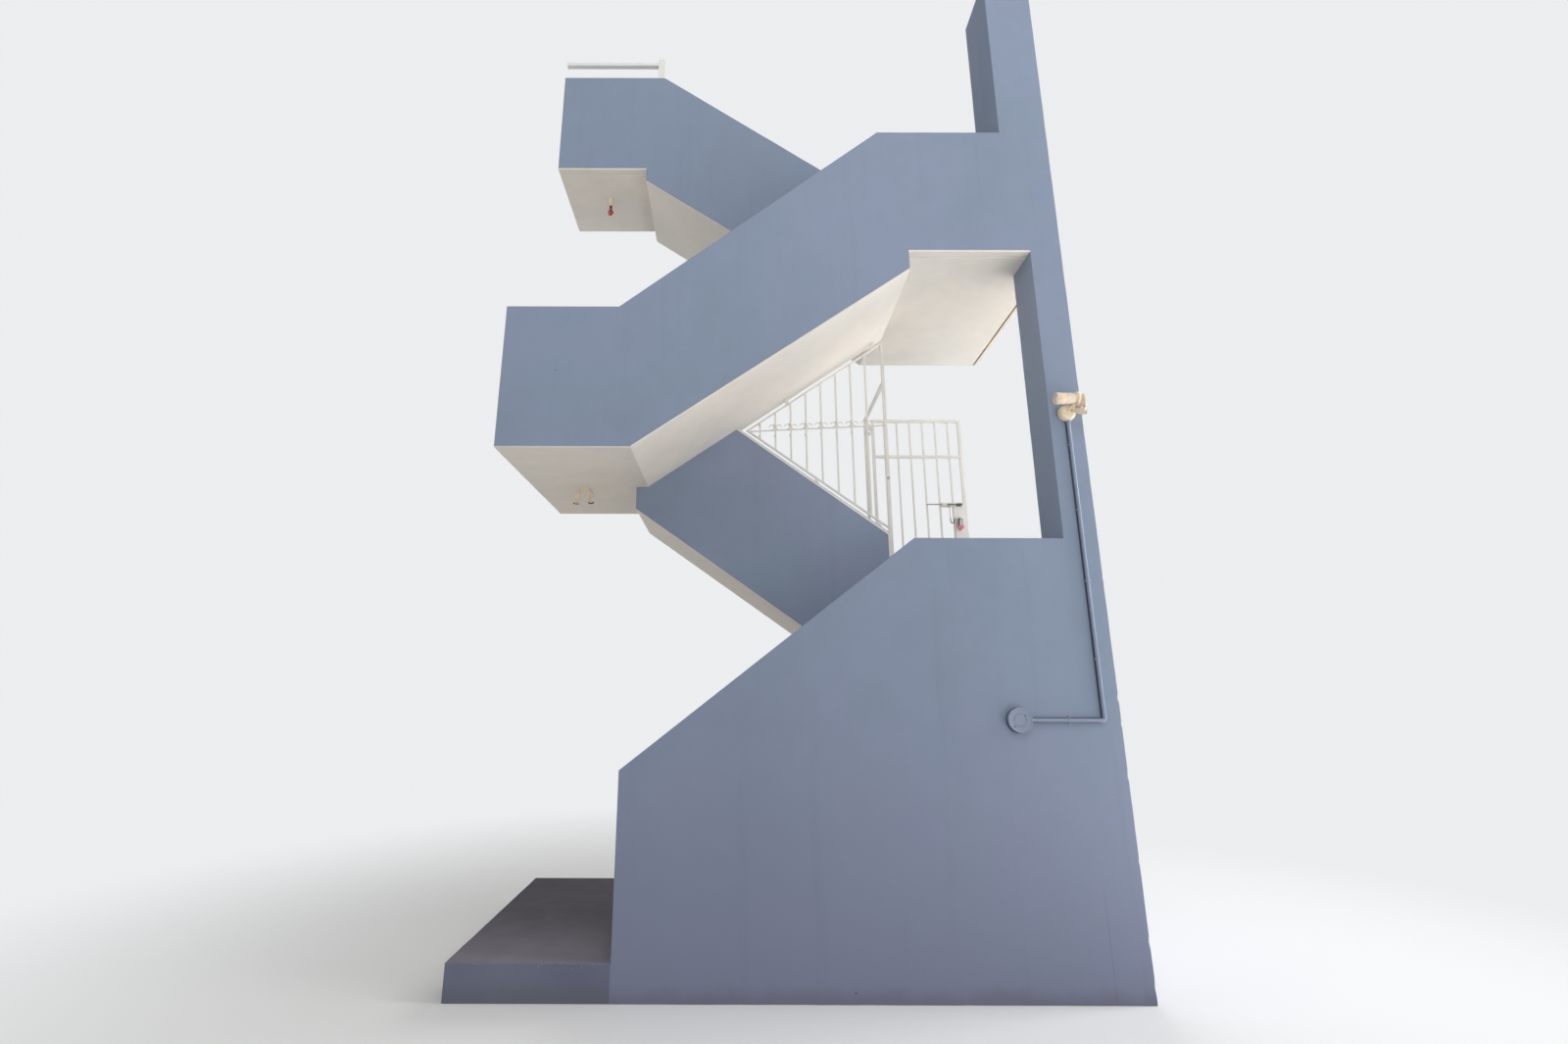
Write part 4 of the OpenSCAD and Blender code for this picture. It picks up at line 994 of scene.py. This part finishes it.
def add_saddle(work, foot, along):
    """A strap over the conduit, with a foot and a screw on each side."""
    across = along.cross(FRONT).normalized()
    lift = FRONT * mm(1.2)
    hoop = ([foot + across * mm(26) + lift, foot + across * mm(14) + lift]
            + arc(foot + FRONT * mm(CONDUIT_OUT), across, FRONT, 12.3, 0, 180, 11)
            + [foot - across * mm(14) + lift, foot - across * mm(26) + lift])
    work.swept(hoop, 6.5, 8, flat=0.18, up=along)
    for side in (-1, 1):
        work.screw(foot + across * mm(20 * side) + FRONT * mm(2), FRONT, 2.8, finish=1)


def make_conduit():
    """The conduit from the box up to the floodlight, in its saddles, with its elbow and collar, and
    painted shadow beside it on the wall.
    """
    work = Work()
    corner = at(CONDUIT_X, -CONDUIT_OUT, BOX_Z)
    bend = 14
    curve = arc(corner + step(-bend, 0, bend), RIGHT, DOWN, bend, 0, 90, 9)
    top = at(CONDUIT_X, -CONDUIT_OUT, 3396.4)
    rise = [top + (curve[0] - top) * i / 12 for i in range(12)]
    end = at(BOX_X + 70.4, -CONDUIT_OUT, BOX_Z)
    run = [curve[-1] + (end - curve[-1]) * i / 4 for i in range(1, 5)]
    work.swept(rise + curve + run, 11, 22)
    work.swept([corner + UP * mm(42), corner + UP * mm(bend + 4)] + curve
               + [corner - RIGHT * mm(bend + 4), corner - RIGHT * mm(42)], 12.4, 26)
    for height in (1850, 2330, 2790, 3230):
        add_saddle(work, at(CONDUIT_X, 0, height), UP)
    add_saddle(work, at(3590, 0, BOX_Z), RIGHT)
    work.turned([(11.2, 0), (13.5, 1), (13.5, 16), (12, 18)], top, DOWN, 24)
    # Thin dark strips on the wall beside the conduit, left of the rise and above and below the run:
    # painted shadow
    shadow_shift = step(-11.5, 12.6, 0)
    work.swept([at(CONDUIT_X, -CONDUIT_OUT, z) + shadow_shift for z in (3394, 1506)], 5.2, 8, flat=0.25,
               up=RIGHT, finish=2)
    for side, size in ((1, 2.6), (-1, 3.6)):
        shadow_shift = step(0, 12.8, 11.3 * side)
        work.swept([at(x, -CONDUIT_OUT, BOX_Z) + shadow_shift for x in (3366, 3790)], size, 8, flat=0.25,
                   up=UP, finish=2)
    work.done("conduit_run", ("conduit_paint", "dark_steel", "painted_shadow"),
              "conduit")


def make_bolt():
    """The drawn bolt with its forged loop, bent a little out of true."""
    work = Work()
    work.turned([(0, 0), (4.2, 0), (5.4, 1.6), (5.4, 139), (6, 141), (6, 150)],
                at(3316, BOLT_Y, BOLT_Z), RIGHT, 28, finish=1)
    work.turned([(6, 0), (6, 172.6), (5, 174), (0, 174)], at(3466, BOLT_Y, BOLT_Z), RIGHT, 28,
                finish=2)
    loop = at(3538, BOLT_Y, BOLT_Z)
    sides = [loop + step(15, 0, -4 - 12.5 * i) for i in range(13)]
    bend = arc(loop + DOWN * mm(157), RIGHT, DOWN, 15, 0, 180, 15)
    back = [Vector((2 * loop.x - point.x, point.y, point.z)) for point in reversed(sides)]
    rand = random.Random(5)
    hoop = [point + Vector((rand.uniform(-1, 1), rand.uniform(-1, 1), 0)) * mm(0.35)
            for point in sides + bend[1:-1] + back]
    low = len(sides) - 3
    work.swept(hoop[:low + 1], 4.9)
    work.swept(hoop[-low - 1:], 4.9)
    work.swept(hoop[low:-low], 5.0, finish=2)
    for x in (15, -15):
        work.bead(loop + step(x, -4, -5), RIGHT, 9, 3.0, rand, finish=2)
    work.done("bolt_bar", ("worn_steel", "bright_steel", "dark_steel"), "slide_bolt",
              body="bolt")


def make_bolt_straps():
    """The two strap guides that the bolt slides in, each riveted to its plate."""
    work = Work()
    for x, finish in ((3478, 0), (3613, 1)):
        centre = at(x, BOLT_Y, BOLT_Z)
        hoop = ([centre + step(0, 20.6, 9.3), centre + step(0, 6, 9.0)]
                + arc(centre, UP, FRONT, 8.2, 10, 170, 11)
                + [centre + step(0, 6, -9.0), centre + step(0, 20.6, -9.3)])
        work.swept(hoop, 21.5, 8, flat=0.058, up=RIGHT, finish=finish)
        for z in (-15, 15):
            for side in (-13, 13):
                work.turned([(3.4, 0), (3.4, 1), (2.2, 2), (0, 2.3)], centre + step(side, 21.7, z),
                            FRONT, 14, finish)
        work.block(centre + step(-22, 20.4, -9.5), centre + step(22, 21.4, 9.5), 0.3, 1, finish)
    work.done("bolt_straps", ("white_iron", "dark_steel"), "bolt_guides", body="gate")


def make_padlock():
    """The heart padlock: two pressed faces on a band, rivets, and a keyway in its foot."""
    lobe = 58 / (2 + math.sqrt(2))
    reach = lobe / math.sqrt(2)
    turns = [math.radians(-45 + 7.5 * i) for i in range(25)]
    right = [(reach + lobe * math.cos(turn), lobe * math.sin(turn)) for turn in turns]
    right = [(x, z) for x, z in right if x >= 0]
    tip = -reach - lobe * math.sqrt(2) + 2.2
    half = [(0.0, tip), (2.2, tip + 1.4)] + right
    whole = half + [(-x, z) for x, z in reversed(half[1:]) if x > 0.01]
    work = Work()
    lock_z = 3101 - lobe
    middle = -lobe * 0.35
    rings = [[work.mesh.verts.new(at(LOCK_X + x * size, y, lock_z + middle + (z - middle) * size))
              for x, z in whole]
             for y, size in ((LOCK_Y - 10, 0.93), (LOCK_Y - 9, 0.975), (LOCK_Y - 6.5, 1.0),
                             (LOCK_Y + 6.5, 1.0), (LOCK_Y + 9, 0.975), (LOCK_Y + 10, 0.93))]
    work.skin(rings)
    for ring in (rings[0], rings[-1]):
        work.mesh.faces.new(ring)
    for x, z in ((-16, 3), (16, 3), (0, -25)):
        work.turned([(2.6, 0), (2.6, 0.5), (1.6, 1.1), (0, 1.2)],
                    at(LOCK_X + x, LOCK_FRONT, lock_z + z), FRONT, 14, finish=1)
    work.turned([(5.4, 0), (5.4, 0.6), (4.2, 0.9), (3.9, 0.3), (0, 0.3)],
                at(LOCK_X, LOCK_FRONT, lock_z - 9), FRONT, 24, finish=1)
    work.block(at(LOCK_X - 0.8, 1716.0, lock_z - 12), at(LOCK_X + 0.8, 1716.6, lock_z - 6), 0.15,
               1, finish=2)
    for side in (-1, 1):
        work.turned([(4.6, 0), (5.6, 0.2), (5.6, 0.9), (4.3, 1.1)],
                    at(LOCK_X + 16 * side, LOCK_Y, 3100.2), UP, 20, finish=2)
    work.done("padlock_body", ("lock_paint", "bare_steel", "black_steel"), "padlock",
              body="gate")


def make_gate_fittings():
    """Welds at the bars' ends, heads on the hinge pins, rivets, and the bolt's keeper ring."""
    rand = random.Random(11)
    work = Work()
    for height in HINGE_ZS:
        for end, way in ((-40, DOWN), (40.3, UP)):
            work.turned([(4.2, 0), (7.5, 0.4), (7.5, 2.2), (5.6, 3.6), (0, 4.2)],
                        at(2840, 1759, height + end), way, 20)
        work.bead(at(2820, 1749, height - 20), UP, 34, 3.2, rand)
    work.done("hinge_pins", ("white_iron",))
    work = Work()
    bar_ends = (1851, 3740, 3768, 4091)
    left, right = at(2856.3, 0, 0).x, at(3684, 0, 0).x
    for i in range(1, 7):
        x = left + i * (right - left) / 7
        for z in bar_ends:
            work.bead(Vector((x, at(0, 1752, 0).y, at(0, 0, z).z)), RIGHT, 9, 2.2, rand)
    for height in HINGE_ZS:
        spot = Vector((left + mm(2), at(0, 1749.5, 0).y, at(0, 0, height + 20).z))
        work.bead(spot, UP, 32, 3.0, rand)
    rivets = ((3580, 2875), (3674, 2875), (3580, 3060), (3674, 3060), (3674, 3300), (3464, 3304),
              (3464, 3278))
    for x, z in rivets:
        work.turned([(5.5, -0.2), (5.5, 1), (3.6, 2.4), (0, 2.9)], at(x, 1744.8, z), FRONT, 18)
    work.done("leaf_welds", ("white_iron",), body="gate")
    # The bolt's keeper ring, in dark steel; its darkness is partly painted shade, widening the
    # shaded hole in the post
    work = Work()
    work.turned([(8.4, 0), (11, 0), (11, 1.4), (8.6, 2.2), (7.4, 0.4), (8.4, 0)],
                at(GATE_POST_X, 927.2, BOLT_Z - 1), FRONT, 24)
    work.done("bolt_keeper", ("dark_steel",))


def make_rail_fittings():
    """Plates, screws and welds that hold the top rail and the gate's posts to the masonry."""
    rand = random.Random(23)
    work = Work()
    work.block(at(846, 933, 7167), at(926, 1005, 7171), 1.0)
    for x, y in ((853, 940), (919, 940), (853, 998), (919, 998)):
        work.screw(at(x, y, 7171), UP, 4.2)
    work.block(at(0.5, 941, 7331), at(4.5, 997, 7378), 1.0)
    for y in RAIL_YS:
        work.bead(at(861, y, 7354), UP, 24, 2.6, rand)
    for y in RAIL_YS:
        work.bead(at(886, y, 7172), RIGHT, 48, 3.2, rand)
    work.block(at(861, 951, 7409), at(912, 987, 7411.5), 1.2)
    work.done("rail_plates", ("white_iron",))
    work = Work()
    for y, front, back in ((939, 24, 24), (1774, 12, 12)):
        work.block(at(GATE_POST_X - 24, y - front, 1765), at(GATE_POST_X + 24, y + back, 1769), 0.8)
        for side in (-18, 18):
            work.screw(at(GATE_POST_X + side, y, 1769), UP, 3.6)
        work.bead(at(GATE_POST_X, y - 12, 1770), RIGHT, 20, 2.8, rand)
    work.done("post_plates", ("white_iron",))


def make_flakes():
    """Small places where the front's paint has come off, in the wall, the porch and the parapet."""
    rand = random.Random(41)
    work = Work()
    pale = [(2909, 1337, 3.2), (3069, 1149, 4.6), (3800, 1065, 5.0), (3768, 1230, 2.6),
            (3760, 175, 3.0), (3744, 64, 4.0), (2310, 1880, 2.2), (1830, 1150, 2.4)]
    edge = [(rand.uniform(60, 890), rand.uniform(172, PORCH_TOP - 1), rand.uniform(2.0, 5.5))
            for i in range(14)]
    dark = [(373, 3760, 6.0), (2265, 58, 5.0), (2460, 3150, 2.2)]
    corners = [2 * math.pi * i / 11 for i in range(11)]
    for places, finish in ((pale + edge, 0), (dark, 1)):
        for x, z, size in places:
            ring = []
            for turn in corners:
                reach = size * rand.uniform(0.55, 1.15)
                ring.append(work.mesh.verts.new(at(x + 1.2 * reach * math.cos(turn), -0.35,
                                                   z + 0.8 * reach * math.sin(turn))))
            back = [work.mesh.verts.new(point.co + step(0, 0.6, 0)) for point in ring]
            crown = work.mesh.verts.new(at(x, -0.5, z))
            work.skin([[crown], ring, back], finish)
    work.done("paint_flakes", ("bare_joint", "dark_steel"))


make_floodlight()
make_sensor()
make_spotlight()
make_bulb()
make_box()
make_conduit()
make_bolt()
make_bolt_straps()
make_padlock()
make_gate_fittings()
make_rail_fittings()
make_flakes()


# The studio

BACKDROP = (0.84, 0.85, 0.86, 1.0)
FLOOR_SEEN = (0.84, 0.84, 0.835, 1.0)
FLOOR_LIT = (0.60, 0.595, 0.58, 1.0)
WORLD_STRENGTH = 0.26


def seen_directly(g):
    """1 where the camera looks at a thing, straight or in a gloss or through glass, and 0 else."""
    rays = g.add("ShaderNodeLightPath").outputs
    seen = g.math("MAXIMUM", rays["Is Camera Ray"], rays["Is Glossy Ray"])
    return g.math("MAXIMUM", seen, rays["Is Transmission Ray"])


def make_floor():
    """A wide pale floor; it throws back less light than the camera sees on it."""
    reach = 40.0
    mesh = bpy.data.meshes.new("floor")
    mesh.from_pydata([(-reach, -reach, 0), (reach, -reach, 0), (reach, reach, 0),
                      (-reach, reach, 0)], [], [(0, 1, 2, 3)])
    floor = bpy.data.objects.new("floor", mesh)
    bpy.context.scene.collection.objects.link(floor)
    g = new_material("studio_floor")
    seen = seen_directly(g)
    g.give(Base_Color=g.mix(seen, FLOOR_LIT, FLOOR_SEEN), Roughness=0.95, Specular_IOR_Level=0.1)
    # Far out the floor takes the tone of the backdrop, so that no hard edge is seen
    away = g.add("ShaderNodeVectorMath", {0: g.place}, operation="LENGTH").outputs["Value"]
    glow = g.add("ShaderNodeEmission", {"Color": BACKDROP, "Strength": 1}).outputs[0]
    both = g.add("ShaderNodeMixShader", {0: g.times(seen, g.ramp(away, 1.8, 6.5)),
                                         1: g.find("BSDF_PRINCIPLED").outputs[0], 2: glow})
    g.plug(both.outputs[0], g.find("OUTPUT_MATERIAL").inputs["Surface"])
    mesh.materials.append(FINISHES["studio_floor"])


# Soft lamps round the stair, which look at its middle: name, place, width and power
MIDDLE = (0.0, 0.0, 3.2)
LAMPS = (("key", (0.6, -8.5, 12.2), 8.0, 430.0), ("right", (10.0, -1.0, 6.0), 6.0, 860.0),
         ("left", (-10.0, -2.0, 6.0), 6.0, 145.0), ("low_right", (8.0, -8.0, 1.5), 6.0, 95.0),
         ("behind", (3.5, 9.0, 7.0), 6.0, 300.0))
# Panels on the floor, which look up: name, place, width and depth, and power
PANEL_Z = 0.03
PANELS = (("floor_right", (6.5, -1.0), (8.0, 8.0), 395.0),
          ("floor_left", (-7.0, -1.0), (8.0, 8.0), 62.0),
          ("floor_front", (0.0, -13.0), (24.0, 9.0), 1230.0))


def add_lamp(name, shape, place, target, size, power):
    """A large soft lamp that looks at a target and isn't seen itself."""
    data = bpy.data.lights.new(name, "AREA")
    data.shape = shape
    data.size, data.size_y = size
    data.energy = power
    lamp = bpy.data.objects.new(name, data)
    lamp.location = place
    lamp.rotation_euler = (Vector(target) - Vector(place)).to_track_quat("-Z", "Y").to_euler()
    lamp.visible_camera = False
    bpy.context.scene.collection.objects.link(lamp)


def make_light():
    """Weak even light, brighter to the camera, soft lamps round the stair, panels on the floor."""
    world = bpy.data.worlds.new("studio")
    bpy.context.scene.world = world
    world.use_nodes = True
    g = Graph(world.node_tree)
    g.ends = g.find("BACKGROUND").inputs
    seen = seen_directly(g)
    g.give(Color=g.mix(seen, grey(1), BACKDROP), Strength=g.ramp(seen, 0, 1, WORLD_STRENGTH, 1))
    for name, place, width, power in LAMPS:
        add_lamp(name, "DISK", place, MIDDLE, (width, width), power)
    for name, (x, y), size, power in PANELS:
        add_lamp(name, "RECTANGLE", (x, y, PANEL_Z), (x, y, 10.0), size, power)


def make_camera():
    """The photograph's camera."""
    data = bpy.data.cameras.new("camera")
    data.sensor_fit = "HORIZONTAL"
    data.sensor_width = SENSOR_MM
    data.lens = FOCAL_PX / PHOTO_W * SENSOR_MM
    data.shift_x = (PHOTO_W / 2 - CENTRE_U) / PHOTO_W
    data.shift_y = (CENTRE_V - PHOTO_H / 2) / PHOTO_W
    data.clip_end = 200.0
    camera = bpy.data.objects.new("camera", data)
    camera.location = EYE
    camera.rotation_euler = (math.pi / 2 + PITCH_UP, ROLL, 0.0)
    bpy.context.scene.collection.objects.link(camera)
    bpy.context.scene.camera = camera


make_camera()
make_floor()
make_light()
bpy.context.scene.view_settings.view_transform = "Standard"
